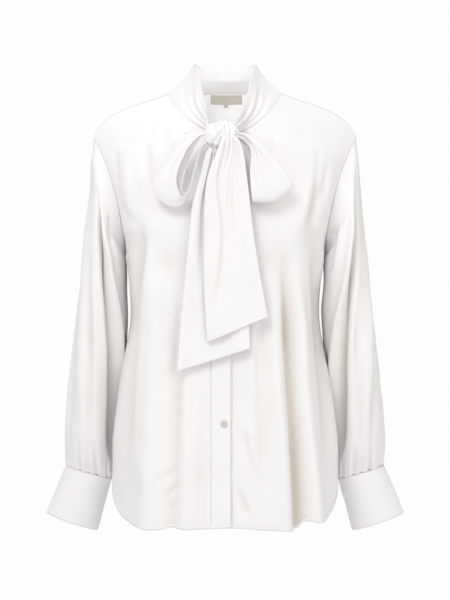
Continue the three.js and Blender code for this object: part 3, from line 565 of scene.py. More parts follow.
def backBase(column, row):
    stations = [line["row"] for line in backRows] + [rowOf["top"]]
    edge = [rowPoint(line, backShare(column)) for line in backRows]
    if column <= backNeckColumns:
        edge.append(bezier(backNeck, column / backNeckColumns))
    else:
        edge.append(rowPoint(frontRows[-1], frontShare(column - backNeckColumns)))
    point = through(stations, edge, row)
    if row <= rowOf["underarm"]:
        seamEdge = [Vector(line["outer"]) for line in backRows] + [Vector(frontRows[-1]["outer"])]
        side = frontBase(frontColumns, row, 0) - through(stations, seamEdge, row)
        point += side * backShare(column) ** 8
    return point


frontRight = {
    "grid": (84, 150),
    "wall": 0.7,
    "flat": (330, 700),
    "hemShift": [(-170, 0), (-150, 3), (-120, -4), (-100, -3), (-84, 1), (-60, -2), (10, 1)],
    "folds": [
        fold([(-173, -80), (-164, -172), (-138, -215)], 6, 5, lean=1),
        fold([(-153, -77), (-150, -179)], 7, -2.5),
        fold([(-149, -179), (-130, -221), (-133, -279), (-141, -371), (-152, -509), (-158, -632)],
             9, 14, lean=1),
        fold([(-110, -221), (-109, -371), (-115, -524), (-120, -675)], 16, -11, ends=(0.3, 0)),
        fold([(-69, -276), (-75, -448), (-81, -675)], 9, 8.5, lean=1, ends=(0.4, 0)),
        fold([(-90, -598), (-87, -681)], 5, 3, lean=1, ends=(0.5, 0)),
        fold([(-108, -606), (-88, -592), (-70, -582)], 3.8, 3.2, lean=1),
        fold([(-100, -632), (-81, -616), (-62, -604)], 3.8, 3.2, lean=1),
        fold([(-90, -648), (-68, -631)], 3.4, 2.4, lean=1),
        fold([(-34, -430), (-38, -678)], 7, 4.5, lean=-1, ends=(0.5, 0)),
        fold([(-96, -40), (-88, -84), (-66, -122)], 9, 2.2, ends=(0.4, 0.5)),
        fold([(-128, -58), (-120, -120), (-104, -186)], 8, 3, lean=1),
        fold([(-115, -34), (-121, -156)], 10, 2.5, ends=(0.2, 0.6)),
        fold([(-118, -267), (-69, -273), (-31, -270)], 26, 4),
    ],
}
frontLeft = {
    "grid": (88, 150),
    "wall": 0.7,
    "flat": (330, 700),
    "hemShift": [(-20, 1), (30, 0), (56, -3), (100, -5), (113, -4), (121, 8), (135, 8), (170, 0)],
    "folds": [
        fold([(92, -240), (100, -356), (104, -448), (112, -555), (120, -684)],
             10.5, 25, lean=1, ends=(0.35, 0)),
        fold([(72, -264), (78, -417), (90, -570), (97, -681)], 13, -9, ends=(0.4, 0)),
        fold([(140, -195), (147, -325), (159, -478), (164, -632)], 10, 14, lean=1),
        fold([(146, -66), (143, -164), (130, -226)], 7, 4.5, lean=-1, ends=(0.6, 0.35)),
        fold([(161, -92), (154, -190)], 6, 4, lean=1, ends=(0.5, 0.4)),
        fold([(152, -130), (140, -190), (126, -262)], 12, 7, ends=(0.4, 0.5)),
        fold([(26, -516), (37, -564), (54, -616)], 5, 5, lean=1),
        fold([(17, -610), (40, -668)], 5, 4.5, lean=1),
        fold([(23, -468), (44, -472), (64, -478)], 4.5, 1.4, lean=1),
        fold([(28, -457), (57, -451)], 4, 1.0, lean=1),
        fold([(70, -44), (74, -90), (64, -140)], 8, 2, ends=(0.4, 0.5)),
        fold([(52, -330), (56, -470), (60, -640)], 9, 6, lean=-1),
        fold([(35, -270), (77, -267), (118, -256)], 26, 4),
    ],
}
back = {
    "grid": (150, 140),
    "wall": 0.7,
    "flat": (640, 720),
    "folds": [
        fold([(92, -180), (102, -400), (112, -684)], 18, 14, ends=(0.4, 0)),
        fold([(64, -230), (70, -450), (78, -684)], 21, -7, ends=(0.4, 0)),
        fold([(22, -250), (26, -450), (34, -684)], 20, 8, ends=(0.5, 0)),
        fold([(-24, -210), (-20, -450), (-20, -684)], 22, 6, ends=(0.5, 0)),
        fold([(-58, -220), (-60, -450), (-64, -684)], 19, -7, ends=(0.4, 0)),
        fold([(-94, -190), (-98, -420), (-106, -684)], 19, 13, ends=(0.4, 0)),
        fold([(150, -90), (146, -170), (128, -230)], 7, 5, lean=-1),
        fold([(-146, -84), (-148, -172), (-126, -236)], 7, 5, lean=1),
        fold([(128, -70), (122, -190)], 9, 2.5),
        fold([(-124, -60), (-120, -180)], 10, 2.5),
        fold([(60, -600), (72, -592), (88, -578)], 4, 1.8, lean=1),
        fold([(-42, -560), (-30, -600), (-26, -640)], 5, 2.4, lean=1),
        fold([(40, -8), (36, -70)], 6, 1.8),
        fold([(-34, -10), (-40, -76)], 6, 1.8),
    ],
}


def edgeFade(u, v, sideWidth):
    row = v * rowOf["top"]
    armhole = smooth((row - rowOf["underarm"] + 1.5) / 3)
    side = smooth((1 - u) / (sideWidth * (1 + armhole)))
    top = smooth((1 - v) / 0.26)
    return side * top


def makeFront(spec, side):
    over = side < 0
    lapWidth = lap["over"] if over else lap["under"]
    cloth = layCloth(spec, lambda u, v: frontBase(u * frontColumns, v * rowOf["top"], lapWidth))
    cloth.points[..., 0] *= side
    if over:
        cloth.points = cloth.points[:, ::-1].copy()
    u, v = shares(spec)
    u = u[:, ::-1] if over else u
    fade = edgeFade(u, v, 0.1)
    height = creases(cloth.points[..., [0, 2]], spec["folds"]) * fade
    nearEdge = smooth(u * frontColumns / 2.2)
    height = height * (0.15 + 0.85 * nearEdge)
    wave = ripple(cloth.points, 46, 1.5, side * 4.0) * fade
    height += wave + ripple(cloth.points, 17, 0.35, side * 9.0) * fade
    cloth.push(height)
    places, drops = zip(*spec["hemShift"])
    nearHem = smooth((hem["shiftShare"] - v) / hem["shiftShare"])
    cloth.points[..., 2] += np.interp(cloth.points[..., 0], places, drops) * nearHem
    shift = -lap["lift"] if over else lap["drop"]
    middle = smooth((frontColumns / 2 - u * frontColumns) / 3)
    cloth.points[..., 1] += shift * middle * smooth((rowOf["top"] - 1 - v * rowOf["top"]) / 6)
    return cloth


def makeBack(spec):
    whole = backNeckColumns + frontColumns

    def place(u, v):
        point = backBase(abs(2 * u - 1) * whole, v * rowOf["top"])
        point.x *= 1 if u < 0.5 else -1
        return point

    cloth = layCloth(spec, place)
    u, v = shares(spec)
    fade = edgeFade(np.abs(2 * u - 1), v, 0.08)
    height = creases(cloth.points[..., [0, 2]], spec["folds"]) * fade
    height += (ripple(cloth.points, 50, 1.6, 31.0) + ripple(cloth.points, 18, 0.35, 37.0)) * fade
    cloth.push(height)
    return cloth


frontRightCloth = makeFront(frontRight, -1)
frontLeftCloth = makeFront(frontLeft, 1)
backCloth = makeBack(back)
frontRightPiece = makeMesh("front_right_cloth", frontRightCloth, frontRight, "front_right")
frontLeftPiece = makeMesh("front_left_cloth", frontLeftCloth, frontLeft, "front_left")
backPiece = makeMesh("back_cloth", backCloth, back, "back")
print("body panels")


# Strips that lie on a panel: hems, the placket and the labels


def strip(name, spec, spot, count, layers, material=None):
    # spot(t, across) gives a point; t runs along the strip and across its width
    grid = [[spot(i / count, j / layers) for i in range(count + 1)] for j in range(layers + 1)]
    return makeMesh(name, Cloth(np.array(grid)), spec, material=material)


hemStrip = {"width": 6.5, "wall": 0.5, "lift": 0.55}
placket = {"width": 33, "wall": 0.4, "lift": 0.3, "flat": (540, 33), "top": 0.8}


def makeHem(name, cloth, segments):
    ends = {}

    def spot(t, across):
        if t not in ends:
            ends[t] = cloth.upFrom(t, 0.0, hemStrip["width"])
        return cloth.at(t, ends[t] * across, hemStrip["lift"])

    length = sum(np.linalg.norm(cloth.at((k + 1) / 40, 0) - cloth.at(k / 40, 0)) for k in range(40))
    spec = {"flat": (length, hemStrip["width"]), "wall": hemStrip["wall"]}
    return strip(name, spec, spot, segments, 2, material=hemMaterial)


def makePlacket(cloth):
    def spot(t, across):
        v = t * placket["top"]
        inner = cloth.acrossFrom(v, 1.0, -placket["width"])
        u = 1.0 + (inner - 1.0) * across
        rim = min(1.0, min(across, 1 - across) * 12)  # the edges lie lower
        return cloth.at(u, v, placket["lift"] * (0.55 + 0.45 * rim))

    return strip("placket", placket, spot, 120, 6)


hemmed = [("front_right", frontRightCloth, 90), ("front_left", frontLeftCloth, 90), ("back", backCloth, 160)]
for key, cloth, segments in hemmed:
    makeHem(f"hem_{key}", cloth, segments)
placketPiece = makePlacket(frontRightCloth)
print("hem and placket")

# Sleeves and cuffs


def sleeveRing(at, outer, inner, midY, half):  # an oval: its outer and inner points (x, z), and its depth
    return {"at": at, "out": outer, "in": inner, "midY": midY, "half": half}


sleeveRings = [
    sleeveRing(0.05, (212.5, -90), (164.5, -251), 5, 50),
    sleeveRing(0.14, (216.5, -140), (164, -265), 6, 58),
    sleeveRing(0.32, (226, -235), (164, -302), 12, 66),
    sleeveRing(0.5, (235.5, -325), (162, -356), 20, 68),
    sleeveRing(0.65, (245.5, -406), (167.5, -428), 31, 67),
    sleeveRing(0.79, (254.5, -482), (176, -496), 41, 63),
    sleeveRing(0.92, (259.5, -551), (182.5, -568), 48, 52),
    sleeveRing(1, (257, -593), (184, -614), 50, 31),
]
cuffHem = {"out": (290, -671), "in": (208, -699), "midY": 57, "half": 35}
# How far the sleeve leans in to the side of the body, between which heights, and over how much it begins
# and ends
sleeveHang = {"most": 6.5, "top": -210, "topFade": 50, "low": -480, "lowFade": 90}
sleeveLength = 530
sleeveRound = 300
sleeveRowPower = 1.12  # the rows lie closer together at the cuff

# Paths run over the sleeve as (turn, share of the way down). Turn 0 is next to the body and 0.25 the front.
sleeveRight = {
    "grid": (132, 150),
    "wall": 0.7,
    "flat": (390, 560),
    "closed": True,
    "folds": [
        fold([(0.33, 0.06), (0.24, 0.33), (0.163, 0.57), (0.09, 0.75), (0.05, 0.95)],
             8, 22.1, lean=1, ends=(0.25, 0.1)),
        fold([(0.44, 0.1), (0.40, 0.4), (0.33, 0.7), (0.25, 0.95)], 12, -5.2, ends=(0.3, 0.3)),
        fold([(0.36, 0.3), (0.31, 0.55), (0.25, 0.8), (0.2, 0.97)], 7, 8.5, lean=1),
        fold([(0.2, 0.02), (0.19, 0.15), (0.13, 0.33)], 7, 5.2, lean=-1),
        fold([(0.45, 0.55), (0.41, 0.8), (0.38, 0.97)], 6, 3.9, lean=-1),
        fold([(0.68, 0.12), (0.75, 0.5), (0.82, 0.95)], 12, 11.7, lean=1),
        fold([(0.58, 0.3), (0.63, 0.6), (0.68, 0.95)], 10, 5.2),
        fold([(0.9, 0.15), (0.93, 0.35), (0.9, 0.6)], 8, 5.2, lean=1),
    ],
}
sleeveLeft = {
    "grid": (132, 150),
    "wall": 0.7,
    "flat": (390, 560),
    "closed": True,
    "folds": [
        fold([(0.4, 0.03), (0.33, 0.2), (0.27, 0.41), (0.2, 0.57), (0.12, 0.76), (0.06, 0.95)],
             8, 22.1, lean=1, ends=(0.25, 0.1)),
        fold([(0.44, 0.25), (0.38, 0.5), (0.3, 0.75), (0.22, 0.95)], 12, -5.2, ends=(0.3, 0.3)),
        fold([(0.45, 0.4), (0.4, 0.6), (0.34, 0.8), (0.3, 0.97)], 7, 5.9, lean=1),
        fold([(0.3, 0.5), (0.26, 0.7), (0.2, 0.95)], 7, 5.2, lean=1),
        fold([(0.16, 0.02), (0.15, 0.14), (0.1, 0.3)], 7, 5.2, lean=-1),
        fold([(0.66, 0.15), (0.73, 0.5), (0.79, 0.95)], 12, 13, lean=1),
        fold([(0.57, 0.35), (0.61, 0.6), (0.66, 0.95)], 10, 5.2),
        fold([(0.92, 0.12), (0.9, 0.35), (0.93, 0.55)], 8, 5.2, lean=1),
    ],
}
gathers = {
    "depth": [4.2, 2.8, 4.8, 3.6, 5.0, 3.0, 4.4, 3.2, 4.8, 3.8, 3.0, 4.8, 3.4, 4.4],
    "reach": [52, 34, 60, 40, 64, 30, 50, 36, 58, 44, 32, 60, 38, 50],
    "shift": [0.1, -0.2, 0.15, 0.0, -0.15, 0.25, -0.1, 0.2, -0.05, 0.15, -0.2, 0.1, 0.05, -0.15],
    "width": 0.0145,
}


def ringPoint(ring, turn):
    angle = 2 * math.pi * turn
    (outX, outZ), (inX, inZ) = ring["out"], ring["in"]
    midX, midZ = (outX + inX) / 2, (outZ + inZ) / 2
    return Vector((
        midX + (inX - midX) * math.cos(angle),
        ring["midY"] - ring["half"] * math.sin(angle),
        midZ + (inZ - midZ) * math.cos(angle),
    ))


def armholePoint(turn):
    half = rowOf["top"] - rowOf["underarm"]
    if turn <= 0.5:
        return frontBase(frontColumns, rowOf["underarm"] + 2 * half * turn, 0)
    return backBase(backNeckColumns + frontColumns, rowOf["underarm"] + 2 * half * (1 - turn))


def makeSleeve(spec, side):
    stations = [0] + [ring["at"] for ring in sleeveRings]
    turns = {}

    def place(u, v):
        if u not in turns:
            turns[u] = [armholePoint(u % 1.0)] + [ringPoint(ring, u) for ring in sleeveRings]
        return through(stations, turns[u], 1 - v**sleeveRowPower)

    cloth = layCloth(spec, place)
    turn, up = shares(spec)
    at = 1 - up**sleeveRowPower
    height = np.zeros(turn.shape)
    stretched = stretch(spec["folds"], sleeveRound, sleeveLength)
    for shift in (-1, 0, 1):
        spots = np.stack([(turn + shift) * sleeveRound, at * sleeveLength], axis=-1)
        height += creases(spots, stretched)
    height *= smooth(at / 0.1) * smooth((1 - at) / 0.1)
    climb = (1 - at) * sleeveLength
    count = len(gathers["depth"])
    for k in range(count):
        middle = (k + 0.5 + gathers["shift"][k]) / count
        gap = turn - middle
        gap = gap - np.round(gap)
        reach = gathers["reach"][k]
        fadeUp = smooth((reach - climb) / reach) * (0.45 + 0.55 * smooth(climb / 6))
        width = gathers["width"]
        pleat = 0.4 * np.exp(-(((np.abs(gap) - 1.9 * width) / width) ** 2)) - np.exp(-((gap / width) ** 2))
        height += gathers["depth"][k] * fadeUp * pleat
    wave = ripple(cloth.points, 44, 1.4, side * 21.0) + ripple(cloth.points, 16, 0.3, side * 27.0)
    wave[:, -1] = wave[:, 0]
    height += wave * smooth(at / 0.1)
    height[:, -1] = height[:, 0]
    cloth.push(height)
    cloth.points[:, -1] = cloth.points[:, 0]
    tuck(cloth, -1, seam["slide"], seam["under"])
    z = cloth.points[..., 2]
    facing = (0.5 + 0.5 * np.cos(2 * math.pi * turn)) ** 2  # 1 next to the body
    beside = smooth((sleeveHang["top"] - z) / sleeveHang["topFade"]) * facing
    beside *= smooth((z - sleeveHang["low"]) / sleeveHang["lowFade"])
    cloth.points[..., 0] -= sleeveHang["most"] * beside
    cloth.points[..., 0] *= side
    return cloth


cuff = {
    "grid": (110, 30),
    "wall": 1.1,
    "flat": (255, 92),
    "start": 0.62,
    "lap": 0.09,
    "overFrom": 0.72,
    "underTo": 0.28,
    "lapFade": 0.12,
    "lift": 1.3,
    "bulge": 0.54,
    "out": 0.3,
}


def makeCuff(side):
    top = sleeveRings[-1]

    def place(u, v):
        down = 1 - v
        ring = {
            "out": tuple(a + (b - a) * down for a, b in zip(top["out"], cuffHem["out"])),
            "in": tuple(a + (b - a) * down for a, b in zip(top["in"], cuffHem["in"])),
            "midY": top["midY"] + (cuffHem["midY"] - top["midY"]) * down,
            "half": top["half"] + (cuffHem["half"] - top["half"]) * down,
        }
        turn = cuff["start"] + u * (1 + cuff["lap"])
        if u > 0.5:
            lift = smooth((u - cuff["overFrom"]) / cuff["lapFade"])
        else:
            lift = -smooth((cuff["underTo"] - u) / cuff["lapFade"])
        point = ringPoint(ring, turn)
        middle = ringPoint(ring, 0).lerp(ringPoint(ring, 0.5), 0.5)
        outward = (point - middle).normalized()
        bend = cuff["bulge"] * math.sin(math.pi * v) + cuff["out"]
        return point + outward * (float(lift) * cuff["lift"] + bend)

    cloth = layCloth(cuff, place)
    soft = ripple(cloth.points, 38, 1.3, side * 13.0)
    cloth.push(soft * smooth((1 - np.linspace(0, 1, cuff["grid"][1] + 1)) / 0.25)[:, None])
    cloth.points[..., 0] *= side
    return cloth


sleevePieces, cuffPieces, cuffCloths = {}, {}, {}
for key, side, spec in (("right", -1, sleeveRight), ("left", 1, sleeveLeft)):
    sleeveCloth = makeSleeve(spec, side)
    sleevePieces[key] = makeMesh(f"sleeve_{key}_cloth", sleeveCloth, spec, f"sleeve_{key}", turned=side < 0)
    cuffCloths[key] = makeCuff(side)
    cuffPieces[key] = makeMesh(f"cuff_{key}_cloth", cuffCloths[key], cuff, f"cuff_{key}", turned=side < 0)
print("sleeves and cuffs")

# Neck band

bandTop = [
    {"at": 0, "spot": (19.5, -126, -57)},
    {"at": 2, "spot": (28, -104, -35)},
    {"at": 3.5, "spot": (34, -72, -8)},
    {"at": 5, "spot": (39.5, -45, 19)},
    {"at": 6, "spot": (45, -20, 39)},
    {"at": 7, "spot": (50.5, 6, 52.5)},
    {"at": 9.5, "spot": (37, 42, 53)},
    {"at": 12, "spot": (0, 56, 52)},
]
bandEnd = (23, -124, -66)
frontNeck = rowOf["top"] - rowOf["neck"]
halfNeck = frontNeck + backNeckColumns  # places along the band from its end to the middle of the back
band = {
    "grid": (192, 34),
    "wall": 1.4,
    "flat": (430, 48),
    "hollow": 5,
    "placeSize": 18,
    "height": 45,
    # (place along the band, share of the way up); the middle of the back is 12
    "folds": [
        fold([(0.2, 0.45), (2.5, 0.42), (4.6, 0.52), (6.2, 0.72)], 4.2, 3.0, lean=1, ends=(0, 0.5)),
        fold([(0.2, 0.75), (2.4, 0.74), (4.2, 0.82)], 3.0, 1.8, lean=1, ends=(0, 0.5)),
        fold([(0.2, 0.2), (3.0, 0.2), (5.5, 0.3), (7, 0.42)], 3.4, 2.2, lean=-1, ends=(0, 0.5)),
        fold([(23.8, 0.4), (21.4, 0.36), (19.0, 0.5), (17.6, 0.62)], 4.2, 3.2, lean=-1, ends=(0, 0.4)),
        fold([(23.8, 0.7), (21.8, 0.66), (19.4, 0.74)], 3.2, 2.0, lean=1, ends=(0, 0.5)),
        fold([(23.8, 0.16), (21.0, 0.16), (18.6, 0.26), (17.2, 0.3)], 3.2, 2.6, lean=1, ends=(0, 0.4)),
        fold([(9, 0.55), (12, 0.5), (15, 0.58)], 5, 1.2),
    ],
}
knot = {
    "middle": Vector((-6, -128, -73)),
    "half": Vector((27, 13, 22)),
    "seat": 0.9,
}


def onKnot(point, distance):
    way = point - knot["middle"]
    scaled = Vector([a / b for a, b in zip(way, knot["half"])]).normalized()
    surface = Vector([a * b for a, b in zip(scaled, knot["half"])]) * 0.97
    return knot["middle"] + surface + surface.normalized() * distance


def neckSeam(at, side):
    if at <= frontNeck:
        point = frontBase(0, rowOf["neck"] + at, 0)
    else:
        point = bezier(backNeck, (halfNeck - at) / backNeckColumns)
    return Vector((point.x * side, point.y, point.z))


def makeBand():
    stations = [row["at"] for row in bandTop]
    frees = [Vector(row["spot"]) for row in bandTop]
    cache = {}

    def edge(u):
        if u not in cache:
            i = u * (2 * halfNeck)
            side = -1 if i <= halfNeck else 1
            at = min(i, 2 * halfNeck - i)
            free = through(stations, frees, at)
            free.x = free.x * side + knot["middle"].x * (1 - float(smooth(at / 3)))
            if at < 2:
                end = Vector((bandEnd[0] * side + knot["middle"].x, bandEnd[1], bandEnd[2]))
                sewn = end.lerp(neckSeam(2, side), at / 2)
            else:
                sewn = neckSeam(at, side)
            cache[u] = (at, sewn, free)
        return cache[u]

    def place(u, v):
        at, sewn, free = edge(u)
        point = sewn.lerp(free, v)
        outward = Vector((point.x, point.y - 10, 0)).normalized()
        hollow = band["hollow"] * math.sin(math.pi * v) * float(smooth((at - 3) / 3))
        return point - outward * hollow

    cloth = layCloth(band, place)
    along, up = shares(band)
    spots = np.stack([along * (2 * halfNeck * band["placeSize"]), up * band["height"]], axis=-1)
    height = -creases(spots, stretch(band["folds"], band["placeSize"], band["height"])) * smooth(up / 0.12)
    height -= ripple(cloth.points, 24, 1.0, 53.0) * smooth(up / 0.2)
    cloth.push(height)
    cloth.hollow *= -1  # the normals of this sheet point in
    tuck(cloth, 0, seam["slide"], 0)
    return cloth


bandCloth = makeBand()
bandPiece = makeMesh("neck_band_cloth", bandCloth, band, "neck_band", turned=True)
print("neck band")

# Bow

loopRight = {
    "grid": (96, 44),
    "wall": 1.2,
    "flat": (300, 75),
    "stations": [0, 0.12, 0.27, 0.42, 0.56, 0.68, 0.8, 1],
    "near": [(-35, -134, -70), (-50, -147, -84), (-66, -152, -112), (-74, -153, -143),
             (-66, -152, -168), (-54, -150, -158), (-46, -148, -125), (-34, -136, -84)],
    "fold": [(-36, -130, -65), (-62, -135, -83), (-90, -136, -115), (-111, -136, -150),
             (-94, -138, -177), (-66, -140, -181), (-49, -140, -146), (-35, -131, -87)],
    "far": [(-33, -125, -68), (-46, -130, -90), (-56, -134, -118), (-64, -136, -144),
            (-63, -137, -162), (-54, -137, -152), (-46, -136, -126), (-34, -127, -84)],
    "folds": [
        fold([(0.0, 0.4), (0.12, 0.35), (0.3, 0.38)], 3.2, 2.2, lean=1, ends=(0, 0.6)),
        fold([(0.0, 0.75), (0.15, 0.72), (0.28, 0.8)], 3.0, 1.8, lean=1, ends=(0, 0.6)),
        fold([(1.0, 0.5), (0.88, 0.42), (0.7, 0.4)], 3.5, 2.4, lean=-1, ends=(0, 0.6)),
        fold([(0.02, 0.72), (0.2, 0.7), (0.42, 0.76), (0.56, 0.72)], 3.2, -3.2, ends=(0.1, 0.4)),
        fold([(0.02, 0.2), (0.2, 0.2), (0.4, 0.16), (0.52, 0.2)], 2.6, 2.4, ends=(0.1, 0.4)),
        fold([(1.0, 0.2), (0.85, 0.22), (0.66, 0.15)], 3.0, 1.8, lean=1, ends=(0, 0.6)),
    ],
}
loopLeft = {
    "grid": (96, 44),
    "wall": 1.2,
    "flat": (290, 75),
    "stations": [0, 0.15, 0.33, 0.47, 0.57, 0.75, 1],
    "near": [(25, -134, -76), (39, -146, -96), (38, -150, -134), (41, -147, -170),
             (43, -137, -176), (38, -130, -138), (24, -125, -82)],
    "fold": [(25, -134, -71), (47, -147, -92), (61, -150, -130), (75, -145, -169),
             (75, -134, -173), (58, -127, -131), (25, -123, -74)],
    "far": [(24, -133, -66), (54, -142, -87), (84, -143, -119), (104, -138, -147),
            (102, -130, -152), (76, -126, -121), (25, -122, -66)],
    "folds": [
        fold([(0.0, 0.5), (0.15, 0.36), (0.3, 0.3), (0.44, 0.3)], 3.4, 3.0, lean=1, ends=(0, 0.5)),
        fold([(0.0, 0.7), (0.12, 0.62), (0.28, 0.6), (0.4, 0.66)], 3.2, 2.4, lean=1, ends=(0, 0.5)),
        fold([(1.0, 0.4), (0.85, 0.45), (0.7, 0.4)], 3.5, 2.2, lean=-1, ends=(0, 0.6)),
        fold([(0.02, 0.2), (0.16, 0.16), (0.32, 0.12), (0.46, 0.14)], 2.8, 2.6, ends=(0.1, 0.4)),
    ],
}


def tailRow(at, left, right, y):  # a level of a tail: its two edges (x, z)
    return {"at": at, "left": Vector((left[0], y, left[1])), "right": Vector((right[0], y, right[1]))}


tailOver = {
    "grid": (60, 130),
    "wall": 1.3,
    "flat": (88, 325),
    "rows": [
        tailRow(0, (-3, -73), (18, -72), -144),
        tailRow(0.07, (-12, -98), (27, -96), -147),
        tailRow(0.2, (-27, -138), (33, -135), -146),
        tailRow(0.45, (-32, -218), (42, -212), -145),
        tailRow(0.72, (-32, -308), (54, -290), -145),
        tailRow(1, (-27, -390), (65.5, -351), -145),
    ],
    "phase": 0.1,
    "seat": 2.6,
    "folds": [
        fold([(0.25, 0.0), (0.3, 0.2), (0.42, 0.45), (0.3, 0.7), (0.12, 0.9)],
             5, 3.2, lean=1, ends=(0.05, 0.3)),
        fold([(0.7, 0.0), (0.62, 0.15), (0.56, 0.35), (0.58, 0.6)], 5, 3.0, lean=-1, ends=(0.05, 0.5)),
        fold([(0.5, 0.0), (0.46, 0.08), (0.42, 0.2)], 3, 2.2, lean=1, ends=(0.05, 0.6)),
        fold([(0.86, 0.02), (0.82, 0.12), (0.8, 0.25)], 3, 1.8, lean=1, ends=(0.05, 0.6)),
        fold([(0.82, 0.35), (0.86, 0.6), (0.88, 0.85)], 7, -2.0),
    ],
}
tailUnder = {
    "grid": (60, 130),
    "wall": 1.3,
    "flat": (80, 350),
    "rows": [
        tailRow(0, (-27, -90), (-10, -96), -131),
        tailRow(0.1, (-36, -128), (-6, -128), -138),
        tailRow(0.3, (-50, -184), (4, -184), -139),
        tailRow(0.55, (-59, -272), (18, -262), -138.5),
        tailRow(0.8, (-68, -362), (34, -332), -138.5),
        tailRow(1, (-73.5, -435), (39, -399.5), -138.5),
    ],
    "phase": 0.45,
    "seat": 0.9,
    "folds": [
        fold([(0.5, 0.0), (0.34, 0.2), (0.3, 0.45), (0.28, 0.7)], 5, 3.0, lean=1, ends=(0.05, 0.5)),
        fold([(0.7, 0.02), (0.6, 0.15), (0.55, 0.35)], 4, 2.4, lean=1, ends=(0.05, 0.5)),
        fold([(0.12, 0.1), (0.12, 0.3), (0.1, 0.55)], 4, -1.8),
    ],
}
loopSize = (280, 70)
tailSize = (75, 320)
tailFold = 3.0
tailRowPower = 1.15  # the rows lie closer together at the knot


def makeLoop(spec, flip):
    rims = [[Vector(spot) for spot in spec[key]] for key in ("near", "fold", "far")]
    cache = {}

    def place(u, v):
        if u not in cache:
            cache[u] = [through(spec["stations"], rim, u) for rim in rims]
        point = through([0, 0.5, 1], cache[u], v)
        pull = float(smooth(1 - min(u, 1 - u) / 0.03))
        return point.lerp(onKnot(point, knot["seat"] * 0.4), pull) if pull > 0 else point

    cloth = layCloth(spec, place)
    spots = np.stack(shares(spec), axis=-1) * loopSize
    height = creases(spots, stretch(spec["folds"], *loopSize)) + ripple(cloth.points, 20, 0.9, 61.0)
    cloth.push(flip * height)
    cloth.hollow *= flip
    return cloth


def makeTail(spec):
    stations = [row["at"] for row in spec["rows"]]
    left = [row["left"] for row in spec["rows"]]
    right = [row["right"] for row in spec["rows"]]
    cache = {}

    def place(u, v):
        down = (1 - v) ** tailRowPower
        if v not in cache:
            cache[v] = (through(stations, left, down), through(stations, right, down))
        point = cache[v][0].lerp(cache[v][1], u)
        wave = tailFold * float(smooth(down * 4)) * math.sin(2 * math.pi * (1.1 * u + spec["phase"]) - down)
        point.y -= max(-0.6, wave)
        pull = float(smooth(1 - down / 0.03))
        return point.lerp(onKnot(point, spec["seat"]), pull) if pull > 0 else point

    cloth = layCloth(spec, place)
    across, up = shares(spec)
    spots = np.stack([across, (1 - up) ** tailRowPower], axis=-1) * tailSize
    depth = np.clip(creases(spots, stretch(spec["folds"], *tailSize)) * 1.4, -4, 2.4)
    height = depth + ripple(cloth.points, 30, 0.8, 71.0)
    cloth.push(height)
    return cloth


loopRightCloth = makeLoop(loopRight, -1)
loopRightPiece = makeMesh("bow_loop_right_cloth", loopRightCloth, loopRight, "bow_loop_right", turned=True)
loopLeftPiece = makeMesh("bow_loop_left_cloth", makeLoop(loopLeft, 1), loopLeft, "bow_loop_left")
tailOverPiece = makeMesh("tail_over_cloth", makeTail(tailOver), tailOver, "tail_over")
tailUnderPiece = makeMesh("tail_under_cloth", makeTail(tailUnder), tailUnder, "tail_under")

# The knot is bunched cloth: folds run over it from side to side, and from its top down to the front
knotShape = {
    "detail": 6,
    "size": 22,
    "unevenness": 0.05,
    "unevenScale": 2.6,
    "most": 1.06,
    # (start, end, width on a ball of radius 1, depth in mm)
    "folds": [
        ((-1, 0.1, 0.5), (1, -0.2, 0.25), 0.13, 4.0),
        ((-1, 0.0, -0.1), (0.9, -0.3, -0.35), 0.12, 4.4),
        ((-0.6, -0.6, -0.8), (0.5, -0.5, 0.8), 0.11, 3.2),
        ((-0.2, -0.3, 1), (0.1, -1, -0.2), 0.10, 4.0),
        ((0.3, 0.2, 1), (0.6, -0.9, 0.1), 0.10, 3.8),
        ((-0.5, -0.2, 1), (-0.3, -1, 0.1), 0.09, 3.4),
        ((0.05, 0.1, 1), (0.35, -1, 0.3), 0.08, 3.0),
        ((-0.8, 0.5, 0.3), (0.6, 0.8, -0.4), 0.14, 3.2),
    ],
}


def makeKnot():
    mesh = bmesh.new()
    bmesh.ops.create_icosphere(mesh, subdivisions=knotShape["detail"], radius=1)
    layer = mesh.loops.layers.uv.new("cloth")
    for vert in mesh.verts:
        way = vert.co.copy()
        out = 1.0
        for start, end, width, depth in knotShape["folds"]:
            a, b = Vector(start).normalized(), Vector(end).normalized()
            gap = way.dot(a.cross(b).normalized())
            reach = float(smooth((way.dot((a + b).normalized()) + 0.15) / 0.5))
            out -= depth / knotShape["size"] * reach * math.exp(-((gap / width) ** 2))
            out += depth / (2 * knotShape["size"]) * reach * math.exp(-(((gap - 1.8 * width) / width) ** 2))
        out += knotShape["unevenness"] * noise.noise(way * knotShape["unevenScale"] + Vector((3, 1, 7)))
        shape = Vector([a * b for a, b in zip(way, knot["half"])])
        vert.co = (knot["middle"] + shape * min(out, knotShape["most"])) * millimetre
    for face in mesh.faces:
        face.smooth = True
        for loop in face.loops:
            loop[layer].uv = (loop.vert.co.x, loop.vert.co.z)
    piece = linkMesh("bow_knot_cloth", mesh, clothMaterial)
    enter(piece, "bow_knot")
    return piece


knotPiece = makeKnot()
print("bow")

# Buttons

button = {
    "radius": 5.3,
    "height": 2.4,
    "rim": 0.75,
    "holeRadius": 0.75,
    "holeDepth": 1.3,
    "holeSpread": 1.45,
    "grid": 56,
    "standOff": 0.4,
    "underside": 0.94,
    "bevel": 1.2,
    "bevelWidth": 0.9,
    "rimWidth": 1.2,
}
thread = {"radius": 0.32, "length": 3.9, "bend": 0.16, "lift": 0.45}


